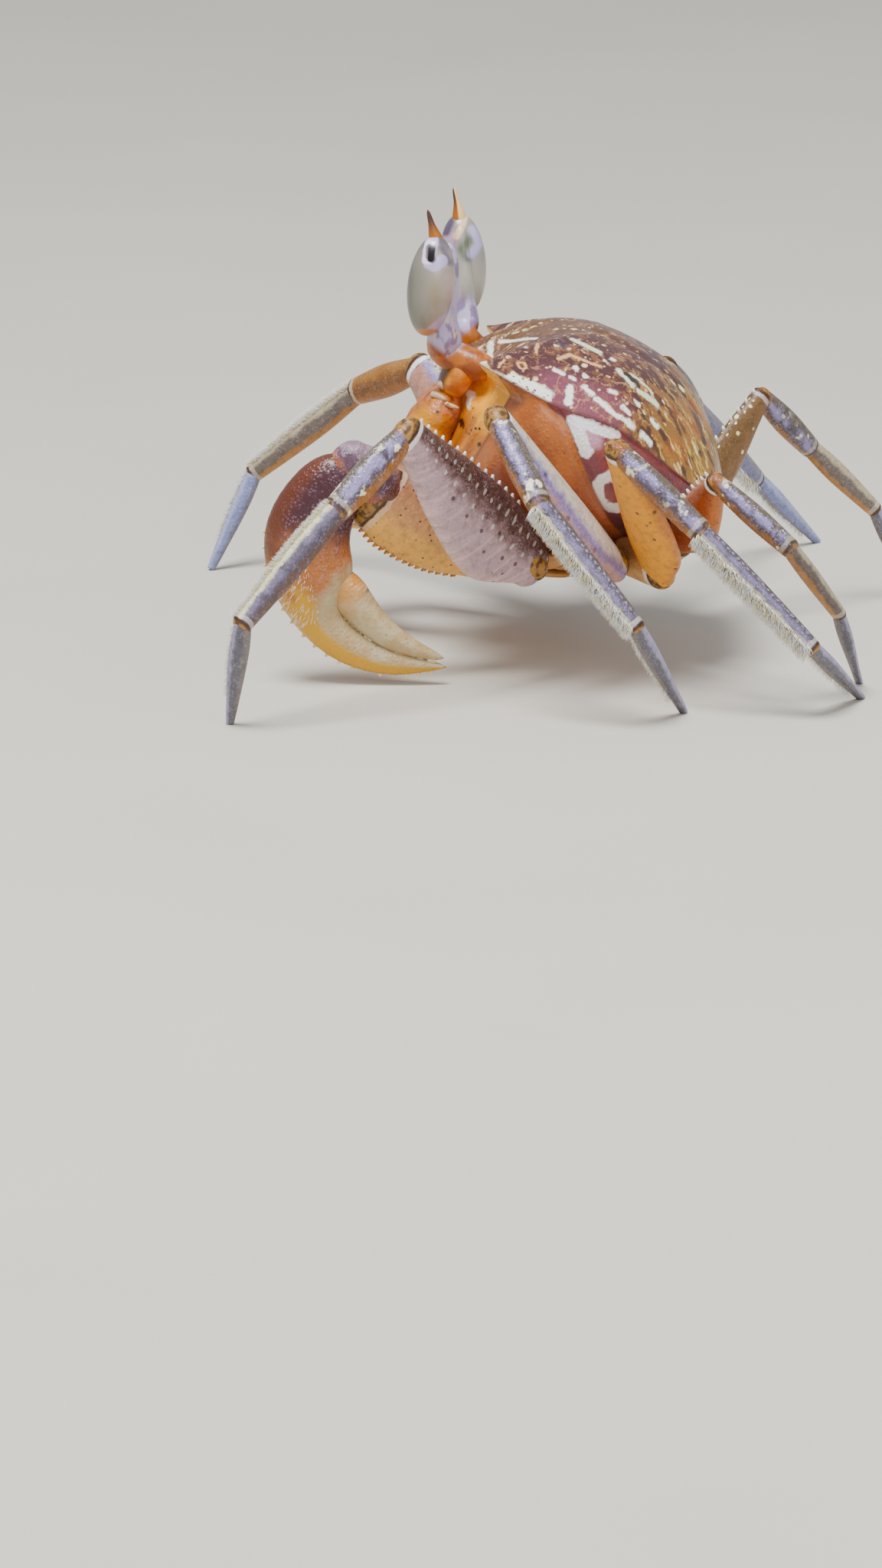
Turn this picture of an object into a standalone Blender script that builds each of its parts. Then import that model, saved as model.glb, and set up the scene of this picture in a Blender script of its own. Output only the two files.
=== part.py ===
"""A ghost crab, life size, standing still with its front raised, both eyes up and its larger claw hanging.

Lengths below are millimetres and angles are degrees; the meshes are written in metres, +Z up.
The crab looks towards -Y and its own left side is +X. The floor is z = 0.
Body measures are (left, back, up) from the centre of the carapace margin, before the body is tilted.
"""

import math

import bmesh
import bpy
from mathutils import Matrix
from mathutils import Vector

MM = 0.001
GAP = 0.3

# Stance of the body: height of the margin's centre, nose-up pitch, and roll that lifts the left side.
BODY_HEIGHT = 24.3
BODY_PITCH = 29.0
BODY_ROLL = 5.0

# Carapace.
HALF_WIDTH = 18.3
TOOTH_LEFT = 17.2
TOOTH_BACK = -13.2
ROSTRUM_BACK = -14.4
ROSTRUM_HALF_WIDTH = 1.5
REAR_BACK = 15.2
REAR_HALF_WIDTH = 9.0
DOME_HEIGHT = 8.2
WALL_DEPTH = 13.0
REAR_WALL_DEPTH = 6.5
BELLY_SCALE = 0.64
# How much the carapace's floor is drawn in where it meets the sternum.
FLOOR_SCALE = 0.5
# The margin droops to the rostrum and the rear edge and is highest at the middle of the side.
ROSTRUM_DROOP = 1.9
SIDE_RISE = 0.5
SIDE_CREST = 1.1
CREST_BACK = 1.3
CREST_REACH = 4.5
REAR_DROOP = 0.8
# Levels of the shell's rings: 0 is the top of the dome, 1 the margin, 2 the foot of the wall.
SHELL_LEVELS = (0.18, 0.36, 0.54, 0.7, 0.83, 0.93, 1.0, 1.06, 1.2, 1.4, 1.6, 1.8, 1.93, 2.0)

# Orbit: the long socket under the front edge that an eye folds down into.
ORBIT_CENTRE = (9.0, -13.6, -3.2)
ORBIT_INNER = (2.5, -13.6, -3.6)
ORBIT_OUTER = (16.0, -14.0, -3.0)
ORBIT_RADII = (7.2, 2.7, 2.5)

# Underside: sternum rings as (share of the belly, drop), then the folded abdomen and the outer jaw-legs.
STERNUM_FRONT = -9.0
STERNUM_DEPTH = 2.8
STERNUM_RINGS = ((0.5, 0.0), (0.88, 0.0), (0.92, 0.6), (0.9, 1.6), (0.72, 2.4), (0.4, 2.7))
ABDOMEN_THICKNESS = 1.1
ABDOMEN_STATIONS = ((-5.0, 0.9), (-3.5, 1.6), (1.0, 2.2), (6.0, 2.8), (10.0, 3.8), (12.6, 4.2))
JAW_CENTRE = (2.2, -13.7, -9.3)
JAW_RADII = (3.1, 2.6, 4.7)

# Eyes: the tall cornea, the stalk that cups its inner side, and the horn on top.
EYE_RADIUS = 2.35
EYE_HALF_LENGTH = 5.1
STALK_ROOT = (4.6, -12.6, -0.8)
STALK_ROOT_RADIUS = 1.0
# Along the stalk: height from the cornea's middle, distance towards the eye's inner side, radius.
STALK_STATIONS = (
    (-6.9, 3.0, 0.95),
    (-5.4, 2.5, 1.4),
    (-3.4, 2.0, 1.25),
    (-1.5, 2.3, 0.95),
    (0.0, 2.35, 0.85),
    (2.9, 2.0, 0.75),
    (4.4, 1.35, 0.65),
)
HORN_RADIUS = 0.68
HORN_LENGTH = 2.8
EYE_CENTRES = {"left": (5.0, -16.2, 37.9), "right": (-5.0, -13.7, 38.4)}
EYE_LEANS = {"left": (90, 83), "right": (-90, 86)}
EYE_INNER_HEADINGS = {"left": 127, "right": 5}
HORN_LEANS = {"left": (-90, 70), "right": (-80, 78)}

# Claws: ischium with coxa, merus, carpus, then palm and fingers along one curved middle line.
CLAW_SOCKET = (8.0, -6.3, -13.2)
CLAW_LENGTHS = {"left": (5.9, 12.4, 5.2, 28.3), "right": (5.6, 10.7, 4.0, 18.0)}
CLAW_SIZE = {"left": 1.0, "right": 0.68}
# Heading and climb of ischium, merus and carpus.
CLAW_STANCE = {
    "left": ((18, -50), (-70, 36), (-66, 40)),
    "right": ((174, -36), (-113, 18), (-71, -14)),
}
# Teeth where the fingers meet and along the palm's outer edge: first and last share of the middle line, count, length.
BITE_TEETH = (0.6, 0.94, 7, 0.45)
EDGE_TEETH = (0.34, 0.92, 12, 0.3)
# Palm and fingers curve in one plane: the first heading, the plane's normal, and how far they turn.
CLAW_START = {"left": (-88, -60), "right": (-10, -14)}
CLAW_NORMAL = {"left": (3, 2), "right": (-60, 78)}
CLAW_TURN = 110.0

# Legs 1 to 4 behind the claws: ischium with coxa, merus, carpus, propodus, dactyl.
LEG_LENGTHS = {
    1: (5.0, 22.3, 10.5, 15.0, 11.3),
    2: (5.0, 23.2, 10.3, 15.3, 13.2),
    3: (5.0, 18.8, 11.3, 15.8, 12.6),
    4: (3.5, 15.0, 9.8, 10.2, 10.8),
}
MERUS_WIDTH = {1: 9.0, 2: 8.4, 3: 7.2, 4: 5.2}
MERUS_THICKNESS = {1: 3.1, 2: 3.1, 3: 2.9, 4: 2.4}
# Where each leg leaves the left side of the sternum, (left, back, up).
LEG_SOCKETS = {
    1: (10.0, -1.5, -13.0),
    2: (10.0, 4.5, -12.0),
    3: (9.2, 9.3, -10.0),
    4: (6.8, 12.6, -7.6),
}
# Heading (0 is +X, 90 is +Y) and climb of the first four joints' pieces, then the dactyl's heading.
STANCE = {
    ("left", 1): ((20, -31), (-44, 43), (-49, -37), (-51, -42), -153),
    ("left", 2): ((50, -6), (-41, 46), (35, -42), (74, -49), 148),
    ("left", 3): ((43, -9), (-17, 50), (68, -39), (83, -45), 153),
    ("left", 4): ((21, 22), (20, 34), (67, -36), (136, -48), 163),
    ("right", 1): ((179, -25), (-140, 34), (-136, -21), (-106, -39), -62),
    ("right", 2): ((170, -15), (-168, 39), (175, -33), (172, -40), 165),
    ("right", 3): ((171, 10), (171, 42), (166, -31), (149, -38), 138),
    ("right", 4): ((150, 25), (137, 44), (140, -40), (114, -44), 125),
}
FOOT_WIDTH = 0.8
# Spines along the upper edge of each leg's merus.
SPINE_COUNTS = {1: 12, 2: 9, 3: 8, 4: 7}
SPINE_SHARES = (0.32, 0.94)
SPINE_LENGTH = 0.75
SPINE_RADIUS = 0.27
SPINE_LEAN = 0.55
SPINE_SIDES = 4
# How deep the root of a spine or tooth is set into the shell.
ROOT_DEPTH = 0.15

COLOURS = {
    "shell": (0.25, 0.08, 0.06, 1.0),
    "underside": (0.75, 0.36, 0.12, 1.0),
    "limb": (0.30, 0.24, 0.24, 1.0),
    "claw": (0.45, 0.20, 0.14, 1.0),
    "cornea": (0.55, 0.58, 0.52, 1.0),
    "stalk": (0.70, 0.62, 0.70, 1.0),
    "horn": (0.60, 0.25, 0.10, 1.0),
}


# Small helpers.

def clear_scene():
    for item in list(bpy.data.objects):
        bpy.data.objects.remove(item, do_unlink=True)


def new_collection(name):
    group = bpy.data.collections.new(name)
    bpy.context.scene.collection.children.link(group)
    return group


def make_materials():
    made = {}
    for name, colour in COLOURS.items():
        material = bpy.data.materials.new(name)
        material.use_nodes = True
        shader = material.node_tree.nodes["Principled BSDF"]
        shader.inputs["Base Color"].default_value = colour
        shader.inputs["Roughness"].default_value = 0.15 if name == "cornea" else 0.45
        shader.inputs["Metallic"].default_value = 0.0
        made[name] = material
    return made


def blend(low, high, share):
    share = max(0.0, min(1.0, share))
    share = share * share * (3.0 - 2.0 * share)
    return low + (high - low) * share


def curve_value(stations, at):
    """The value at a station, read from (station, value) pairs with straight runs between."""
    if at <= stations[0][0]:
        return stations[0][1]
    for (start, low), (end, high) in zip(stations, stations[1:]):
        if at <= end:
            return low + (high - low) * (at - start) / (end - start)
    return stations[-1][1]


def smooth_path(points, steps):
    """Points on a smooth curve through the given ones, with steps pieces between each pair."""
    ends = [points[0] * 2 - points[1]] + list(points) + [points[-1] * 2 - points[-2]]
    path = []
    for before, start, end, after in zip(ends, ends[1:], ends[2:], ends[3:]):
        for step in range(steps):
            t = step / steps
            path.append(0.5 * (
                2 * start
                + (end - before) * t
                + (2 * before - 5 * start + 4 * end - after) * t ** 2
                + (3 * start - before - 3 * end + after) * t ** 3
            ))
    path.append(points[-1].copy())
    return path


def direction(heading, climb):
    heading = math.radians(heading)
    climb = math.radians(climb)
    flat = math.cos(climb)
    return Vector((flat * math.cos(heading), flat * math.sin(heading), math.sin(climb)))


def body_point(left, back, up):
    """A place on the body, turned and lifted into the crab's stance."""
    roll = math.radians(BODY_ROLL)
    pitch = math.radians(BODY_PITCH)
    side = left * math.cos(roll) - up * math.sin(roll)
    lift = left * math.sin(roll) + up * math.cos(roll)
    return Vector((
        side,
        back * math.cos(pitch) + lift * math.sin(pitch),
        BODY_HEIGHT - back * math.sin(pitch) + lift * math.cos(pitch),
    ))


# Meshes.

def loft(rings, start, end):
    """A closed surface through rings of equal counts, closed by a fan at each end point."""
    surface = bmesh.new()
    rows = [[surface.verts.new(point) for point in ring] for ring in rings]
    first = surface.verts.new(start)
    last = surface.verts.new(end)
    count = len(rings[0])
    for row, following in zip(rows, rows[1:]):
        for i in range(count):
            j = (i + 1) % count
            surface.faces.new((row[i], row[j], following[j], following[i]))
    for i in range(count):
        j = (i + 1) % count
        surface.faces.new((first, rows[0][j], rows[0][i]))
        surface.faces.new((last, rows[-1][i], rows[-1][j]))
    bmesh.ops.triangulate(surface, faces=surface.faces)
    bmesh.ops.recalc_face_normals(surface, faces=surface.faces)
    return surface


def section(centre, wide, thick, half_wide, half_thick, sides, squareness=1.0):
    """One ring: an ellipse, or squarer or sharper as squareness falls below or rises above 1."""
    ring = []
    for i in range(sides):
        turn = 2 * math.pi * i / sides
        across = math.cos(turn)
        along = math.sin(turn)
        across = math.copysign(abs(across) ** squareness, across)
        along = math.copysign(abs(along) ** squareness, along)
        ring.append(centre + wide * (across * half_wide) + thick * (along * half_thick))
    return ring


NO_LEAN = ((0.0, 0.0), (1.0, 0.0))


class Limb:
    """A tapering piece between two points, flat across one direction, with rounded ends."""

    # Shares of the length where the piece has its rings.
    STATIONS = (0.06, 0.25, 0.45, 0.65, 0.85, 0.95)

    def __init__(self, start, end, normal, widths, thicknesses, sides=8, lean=NO_LEAN, foot=False):
        self.start = start
        self.end = end
        self.axis = (end - start).normalized()
        self.thick = (normal - self.axis * normal.dot(self.axis)).normalized()
        self.wide = self.thick.cross(self.axis).normalized()
        self.length = (end - start).length
        self.widths = widths
        self.thicknesses = thicknesses
        self.sides = sides
        self.lean = lean
        self.foot = foot

    def mesh(self, grow=0.0):
        rings = []
        start_round = curve_value(self.widths, 0.0) / 2 + grow
        end_round = curve_value(self.widths, 1.0) / 2 + grow
        spots = [(-start_round * 0.5, 0.8)]
        spots += [(share * self.length, 1.0) for share in self.STATIONS]
        if self.foot:
            spots.append((self.length, 1.0))
        else:
            spots += [(self.length + end_round * 0.1, 0.95), (self.length + end_round * 0.5, 0.7)]
        for distance, fullness in spots:
            share = max(0.0, min(1.0, distance / self.length))
            half_wide = (curve_value(self.widths, share) / 2 + grow) * fullness
            half_thick = (curve_value(self.thicknesses, share) / 2 + grow) * fullness
            centre = self.start + self.axis * distance + self.wide * curve_value(self.lean, share)
            rings.append(section(centre, self.wide, self.thick, half_wide, half_thick, self.sides))
        tail = self.start - self.axis * start_round * 0.8 + self.wide * curve_value(self.lean, 0.0)
        if self.foot:
            tip = self.end + self.axis * grow
        else:
            tip = self.end + self.axis * end_round * 0.75 + self.wide * curve_value(self.lean, 1.0)
        return loft(rings, tail, tip)

    def spines(self, count):
        """A row of small spines along the upper edge, leaning towards the end."""
        first, last = SPINE_SHARES
        made = []
        for i in range(count):
            share = first + (last - first) * i / (count - 1)
            half_wide = curve_value(self.widths, share) / 2
            centre = self.start + self.axis * (share * self.length) + self.wide * curve_value(self.lean, share)
            out = self.axis * SPINE_LEAN - self.wide
            made.append(spine(centre - self.wide * half_wide, out, SPINE_LENGTH, SPINE_RADIUS))
        return made


def claw_line(start, heading, normal, length):
    """The middle line of palm and fingers: an arc that turns about the claw's normal."""
    steps = 14
    points = [start.copy()]
    for step in range(steps):
        share = (step + 0.5) / steps
        turned = blend(0.0, CLAW_TURN, share)
        along = heading.copy()
        along.rotate(Matrix.Rotation(math.radians(turned), 3, normal))
        points.append(points[-1] + along * (length / steps))
    return points


class Hand:
    """The palm with its fixed finger, or the moving finger: a flat blade along the claw's curved middle line."""

    foot = False

    # Share of the middle line, width, thickness, and how far the blade's centre lies to the outer side.
    PALM = (
        (0.0, 4.8, 3.6, 0.0),
        (0.12, 6.9, 4.8, 0.5),
        (0.28, 8.4, 5.4, 1.0),
        (0.42, 8.4, 5.0, 0.8),
        (0.5, 7.0, 4.2, 1.0),
        (0.57, 4.6, 3.1, 1.85),
        (0.7, 3.5, 2.4, 1.75),
        (0.85, 2.3, 1.7, 1.2),
        (0.95, 1.2, 1.1, 0.7),
        (1.0, 0.7, 0.8, 0.5),
    )
    FINGER = (
        (0.45, 3.0, 2.8, -1.9),
        (0.55, 3.8, 2.9, -1.95),
        (0.66, 3.4, 2.5, -1.8),
        (0.8, 2.6, 1.9, -1.1),
        (0.92, 1.4, 1.3, -0.6),
        (0.985, 0.7, 0.8, -0.35),
    )
    SIDES = 10

    def __init__(self, path, normal, size, stations):
        self.path = path
        self.normal = normal
        self.size = size
        self.stations = stations

    def frame(self, share):
        spot = share * (len(self.path) - 1)
        i = min(int(spot), len(self.path) - 2)
        centre = self.path[i].lerp(self.path[i + 1], spot - i)
        axis = (self.path[i + 1] - self.path[i]).normalized()
        return centre, axis, axis.cross(self.normal).normalized()

    def mesh(self, grow=0.0):
        rings = []
        centres = []
        axes = []
        for share, width, thickness, shift in self.stations:
            centre, axis, outward = self.frame(share)
            centre = centre + outward * shift * self.size
            half_wide = width * self.size / 2 + grow
            half_thick = thickness * self.size / 2 + grow
            rings.append(section(centre, outward, self.normal, half_wide, half_thick, self.SIDES))
            centres.append(centre)
            axes.append(axis)
        start = centres[0] - axes[0] * (0.6 * self.size + grow)
        end = centres[-1] + axes[-1] * (0.4 + grow)
        return loft(rings, start, end)

    def teeth(self, row, outer):
        """A row of small teeth along the outer or the inner edge."""
        first, last, count, length = row
        widths = [(share, width) for share, width, _, _ in self.stations]
        shifts = [(share, shift) for share, _, _, shift in self.stations]
        made = []
        for i in range(count):
            share = first + (last - first) * i / (count - 1)
            centre, _, outward = self.frame(share)
            out = outward if outer else -outward
            centre = centre + outward * curve_value(shifts, share) * self.size
            edge = centre + out * curve_value(widths, share) * self.size / 2
            made.append(spine(edge, out, length * self.size, length * self.size))
        return made


def outline(grow=0.0):
    """The carapace margin from above, once round, as (left, back) pairs, from the front middle to its left."""
    front = [
        Vector((0.0, ROSTRUM_BACK)),
        Vector((ROSTRUM_HALF_WIDTH, ROSTRUM_BACK + 0.6)),
        Vector((2.3, -12.6)),
        Vector((4.6, -11.6)),
        Vector((9.5, -11.1)),
        Vector((14.2, -11.9)),
        Vector((TOOTH_LEFT, TOOTH_BACK)),
    ]
    side = [
        Vector((TOOTH_LEFT, TOOTH_BACK)),
        Vector((17.9, -10.5)),
        Vector((HALF_WIDTH, -5.0)),
        Vector((17.8, 1.0)),
        Vector((15.6, 7.0)),
        Vector((12.2, 12.0)),
        Vector((REAR_HALF_WIDTH, REAR_BACK - 0.4)),
        Vector((4.5, REAR_BACK)),
        Vector((0.0, REAR_BACK)),
    ]
    half = smooth_path(front, 1)[:-1] + smooth_path(side, 2)
    half = [(point.x + grow * (point.x > 0.1), point.y + math.copysign(grow, point.y)) for point in half]
    return half + [(-left, back) for left, back in reversed(half[1:-1])]


def margin_height(left, back):
    """The margin droops to the rostrum in front and to the rear edge, and swells up along the sides."""
    droop = blend(0.0, ROSTRUM_DROOP, 1.0 - abs(left) / 6.0) if back < -10.0 else 0.0
    crest = SIDE_CREST * math.exp(-((back - CREST_BACK) / CREST_REACH) ** 2)
    rise = blend(0.0, SIDE_RISE + crest, (abs(left) - 10.0) / 6.0)
    return rise - droop - blend(0.0, REAR_DROOP, (back - 6.0) / 9.0)


def wall_depth(back):
    return blend(WALL_DEPTH, REAR_WALL_DEPTH, (back - 1.0) / 14.0)


def shell_point(left, back, level, grow=0.0):
    """A point of the carapace over or under an outline point. Levels 0 to 1 cross the dome, 1 to 2 go down the wall."""
    if level <= 1.0:
        fade = level ** 2.5
        up = (DOME_HEIGHT + grow) * (1.0 - fade) + margin_height(left, back) * fade
        # Towards the top the outline's corners melt into an oval.
        reach = math.hypot(left / HALF_WIDTH, back / REAR_BACK)
        oval = 1.0 + (1.0 / reach - 1.0) * (1.0 - level ** 2)
        return body_point(left * level * oval, back * level * oval, up)
    drop = level - 1.0
    narrow = 1.0 + 0.05 * math.sin(math.pi * drop) - (1.0 - BELLY_SCALE) * drop ** 2
    shorten = 1.0 - (0.14 if back > 0.0 else 0.03) * drop ** 1.5
    up = margin_height(left, back) * (1.0 - drop) - (wall_depth(back) + grow) * drop
    return body_point(left * narrow, back * shorten, up)


def carapace_mesh(grow=0.0):
    edge = outline(grow)
    rings = [[shell_point(left, back, level, grow) for left, back in edge] for level in SHELL_LEVELS]
    floor = []
    for left, back in edge:
        place = back * FLOOR_SCALE
        floor.append(body_point(left * BELLY_SCALE * FLOOR_SCALE, place, -wall_depth(place) - grow))
    rings.append(floor)
    top = body_point(0.0, 0.0, DOME_HEIGHT + grow)
    bottom = body_point(0.0, 0.0, -wall_depth(0.0) - grow)
    return loft(rings, top, bottom)


def sternum_mesh(grow=0.0):
    """The plate under the body that the legs spring from, a little domed below."""
    edge = outline()
    rings = []
    for spread, drop in STERNUM_RINGS:
        ring = []
        for left, back in edge:
            back = max(back, STERNUM_FRONT)
            place = back * min(spread, 0.9) * 0.95
            up = -wall_depth(place) - GAP - drop + (grow if drop < 0.3 else -grow)
            ring.append(body_point((left * BELLY_SCALE + math.copysign(grow, left)) * spread, place, up))
        rings.append(ring)
    top = body_point(0.0, 0.0, -wall_depth(0.0) - GAP + grow)
    bottom = body_point(0.0, 0.0, -wall_depth(0.0) - GAP - STERNUM_DEPTH - grow)
    return loft(rings, top, bottom)


def body_axes():
    """Unit directions to the crab's left, ahead and upward in the tilted body."""
    centre = body_point(0.0, 0.0, 0.0)
    return (
        body_point(1.0, 0.0, 0.0) - centre,
        body_point(0.0, -1.0, 0.0) - centre,
        body_point(0.0, 0.0, 1.0) - centre,
    )


def ellipsoid(centre, axes, radii, segments=16, rings=12):
    surface = bmesh.new()
    bmesh.ops.create_uvsphere(surface, u_segments=segments, v_segments=rings, radius=1.0)
    frame = Matrix((axes[0] * radii[0], axes[1] * radii[1], axes[2] * radii[2])).transposed()
    place = Matrix.Translation(centre) @ frame.to_4x4()
    bmesh.ops.transform(surface, matrix=place, verts=surface.verts)
    bmesh.ops.triangulate(surface, faces=surface.faces)
    bmesh.ops.recalc_face_normals(surface, faces=surface.faces)
    return surface


def spine(root, out, length, radius):
    """A small pyramid standing on the shell, its root set a little into it."""
    out = out.normalized()
    side = out.orthogonal().normalized()
    base = root - out * ROOT_DEPTH
    ring = section(base, side, out.cross(side), radius, radius, SPINE_SIDES)
    return loft([ring], base, root + out * length)


def tube(points, radii, sides=10):
    """A round rod along a path, its ends closed flat."""
    rings = []
    side = Vector((1.0, 0.0, 0.0))
    for i, point in enumerate(points):
        ahead = points[min(i + 1, len(points) - 1)]
        behind = points[max(i - 1, 0)]
        axis = (ahead - behind).normalized()
        side = (side - axis * side.dot(axis)).normalized()
        rings.append(section(point, side, axis.cross(side), radii[i], radii[i], sides))
    return loft(rings, points[0], points[-1])


# Objects.

def make_object(surface, name, group, material=None):
    mesh = bpy.data.meshes.new(name)
    bmesh.ops.scale(surface, vec=(MM, MM, MM), verts=surface.verts)
    surface.to_mesh(mesh)
    surface.free()
    item = bpy.data.objects.new(name, mesh)
    group.objects.link(item)
    if material:
        mesh.materials.append(material)
        mesh.shade_smooth()
    return item


def largest_body(mesh):
    """Keeps only the largest closed surface of a mesh."""
    surface = bmesh.new()
    surface.from_mesh(mesh)
    bmesh.ops.remove_doubles(surface, verts=surface.verts, dist=0.00002)
    unseen = set(surface.faces)
    bodies = []
    while unseen:
        body = [unseen.pop()]
        for face in body:
            for edge in face.edges:
                for other in edge.link_faces:
                    if other in unseen:
                        unseen.remove(other)
                        body.append(other)
        bodies.append(body)
    keep = max(bodies, key=lambda body: sum(face.calc_area() for face in body))
    kept = set(keep)
    loose = [face for face in surface.faces if face not in kept]
    bmesh.ops.delete(surface, geom=loose, context="FACES")
    surface.to_mesh(mesh)
    surface.free()


def combine(item, surfaces, operation, solver="EXACT"):
    """Cuts the surfaces out of an object, or fuses them to it, with one Boolean."""
    group = new_collection("cutters")
    for surface in surfaces:
        tool = make_object(surface, "cutter", group)
        tool.hide_render = True
        tool.display_type = "WIRE"
    change = item.modifiers.new("combine", "BOOLEAN")
    change.operation = operation
    change.operand_type = "COLLECTION"
    change.collection = group
    change.solver = solver
    bpy.context.view_layer.update()
    seen = item.evaluated_get(bpy.context.evaluated_depsgraph_get())
    mesh = bpy.data.meshes.new_from_object(seen)
    item.modifiers.clear()
    item.data = mesh
    for tool in list(group.objects):
        bpy.data.objects.remove(tool, do_unlink=True)
    bpy.data.collections.remove(group)
    largest_body(item.data)
    item.data.shade_smooth()


class Crab:
    """Builds every node of the crab into one collection."""

    def __init__(self):
        self.group = new_collection("ghost_crab")
        self.materials = make_materials()
        self.made = {}
        self.root = bpy.data.objects.new("crab_root", None)
        self.group.objects.link(self.root)

    def node(self, name, surface, material):
        item = make_object(surface, name, self.group, self.materials[material])
        item.parent = self.root
        self.made[name] = item
        return item

    # Body.

    def body(self):
        shell = self.node("carapace", carapace_mesh(), "shell")
        combine(shell, [self.orbit(side) for side in (1, -1)], "DIFFERENCE")
        self.node("sternum", sternum_mesh(), "underside")
        self.abdomen()
        self.mouthparts()

    def orbit(self, side):
        """The space that an eye folds down into, as a solid to cut away."""
        centre, inner, outer = (
            body_point(side * left, back, up) for left, back, up in (ORBIT_CENTRE, ORBIT_INNER, ORBIT_OUTER)
        )
        across = (outer - inner).normalized()
        ahead = body_axes()[1]
        ahead = (ahead - across * ahead.dot(across)).normalized()
        return ellipsoid(centre, (across, ahead, across.cross(ahead)), ORBIT_RADII)

    def abdomen(self):
        """The narrow tail flap folded flat under the sternum."""
        across, _, upward = body_axes()
        half_thick = ABDOMEN_THICKNESS / 2
        rings = []
        centres = []
        for back, half_width in ABDOMEN_STATIONS:
            top = -wall_depth(back) - GAP - STERNUM_DEPTH - GAP
            centres.append(body_point(0.0, back, top - half_thick))
            rings.append(section(centres[-1], across, upward, half_width, half_thick, 10, 0.7))
        self.node("abdomen", loft(rings, centres[0], centres[-1]), "underside")

    def mouthparts(self):
        """The pair of broad outer jaw-legs that shut over the mouth."""
        left, back, up = JAW_CENTRE
        plates = [ellipsoid(body_point(side * left, back, up), body_axes(), JAW_RADII, 12, 10) for side in (1, -1)]
        item = self.node("mouthparts", plates[0], "underside")
        combine(item, [plates[1]], "UNION")
        combine(item, [carapace_mesh(GAP)], "DIFFERENCE")

    # Eyes.

    def eye(self, side):
        sign = 1 if side == "left" else -1
        centre = Vector(EYE_CENTRES[side])
        upward = direction(*EYE_LEANS[side])
        inner = direction(EYE_INNER_HEADINGS[side], 0.0)
        inner = (inner - upward * inner.dot(upward)).normalized()
        axes = (inner, upward.cross(inner), upward)
        self.node("eye_" + side, self.cornea_mesh(centre, axes), "cornea")
        horn_base = centre + upward * (EYE_HALF_LENGTH - 0.7) + inner * 0.3
        horn_tip = centre + upward * EYE_HALF_LENGTH + direction(*HORN_LEANS[side]) * HORN_LENGTH
        horn = self.node("horn_" + side, self.horn_mesh(horn_base, horn_tip), "horn")
        left, back, up = STALK_ROOT
        points = [body_point(sign * left, back, up)]
        points += [centre + upward * height + inner * offset for height, offset, _ in STALK_STATIONS]
        path = smooth_path(points, 2)
        sizes = [STALK_ROOT_RADIUS] + [radius for _, _, radius in STALK_STATIONS]
        sizes = [(sizes[i // 2] + sizes[(i + 1) // 2]) / 2 for i in range(len(path))]
        stalk = self.node("eyestalk_" + side, tube(path, sizes), "stalk")
        cuts = [self.cornea_mesh(centre, axes, GAP), carapace_mesh(GAP), self.horn_mesh(horn_base, horn_tip, GAP)]
        combine(stalk, cuts, "DIFFERENCE")
        combine(horn, [self.cornea_mesh(centre, axes, GAP)], "DIFFERENCE")

    def cornea_mesh(self, centre, axes, grow=0.0):
        return ellipsoid(centre, axes, (EYE_RADIUS + grow, EYE_RADIUS + grow, EYE_HALF_LENGTH + grow))

    def horn_mesh(self, base, tip, grow=0.0):
        heights = (0.0, 0.3, 0.6, 0.85, 1.0)
        path = [base.lerp(tip, height) for height in heights]
        path[0] -= (tip - base).normalized() * grow
        return tube(path, [HORN_RADIUS * (1.0 - 0.85 * height) + grow for height in heights], 8)

    def eyes(self):
        self.eye("left")
        self.eye("right")

    # Claws.

    def claw(self, side):
        sign = 1 if side == "left" else -1
        size = CLAW_SIZE[side]
        lengths = CLAW_LENGTHS[side]
        left, back, up = CLAW_SOCKET
        joints = [body_point(sign * left, back, up)]
        for length, (heading, climb) in zip(lengths[:3], CLAW_STANCE[side]):
            joints.append(joints[-1] + direction(heading, climb) * length)
        start = direction(*CLAW_START[side])
        normal = direction(*CLAW_NORMAL[side])
        normal = (normal - start * normal.dot(start)).normalized()
        path = claw_line(joints[3], start, normal, lengths[3])
        ischium = Limb(
            joints[0], joints[1], normal,
            ((0.0, 3.6 * size), (1.0, 4.4 * size)),
            ((0.0, 3.2 * size), (1.0, 3.6 * size)),
        )
        merus = Limb(
            joints[1], joints[2], normal,
            ((0.0, 4.8 * size), (0.35, 7.8 * size), (0.8, 8.4 * size), (1.0, 7.0 * size)),
            ((0.0, 3.6 * size), (0.5, 4.4 * size), (1.0, 3.8 * size)),
            sides=10,
            lean=((0.0, 0.0), (0.5, 0.6 * size), (1.0, 1.0 * size)),
        )
        carpus = Limb(
            joints[2], joints[3], normal,
            ((0.0, 4.4 * size), (0.5, 6.0 * size), (1.0, 4.6 * size)),
            ((0.0, 3.8 * size), (0.5, 5.0 * size), (1.0, 3.8 * size)),
        )
        palm = Hand(path, normal, size, Hand.PALM)
        finger = Hand(path, normal, size, Hand.FINGER)
        prefix = "claw_%s_" % side
        names = ("ischium", "merus", "carpus", "palm", "finger")
        self.chain(prefix, names, (ischium, merus, carpus, palm, finger), "claw")
        teeth = palm.teeth(BITE_TEETH, False) + palm.teeth(EDGE_TEETH, True)
        combine(self.made[prefix + "palm"], teeth, "UNION")
        combine(self.made[prefix + "finger"], finger.teeth(BITE_TEETH, True), "UNION")

    def claws(self):
        self.claw("left")
        self.claw("right")

    # Walking legs.

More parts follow.
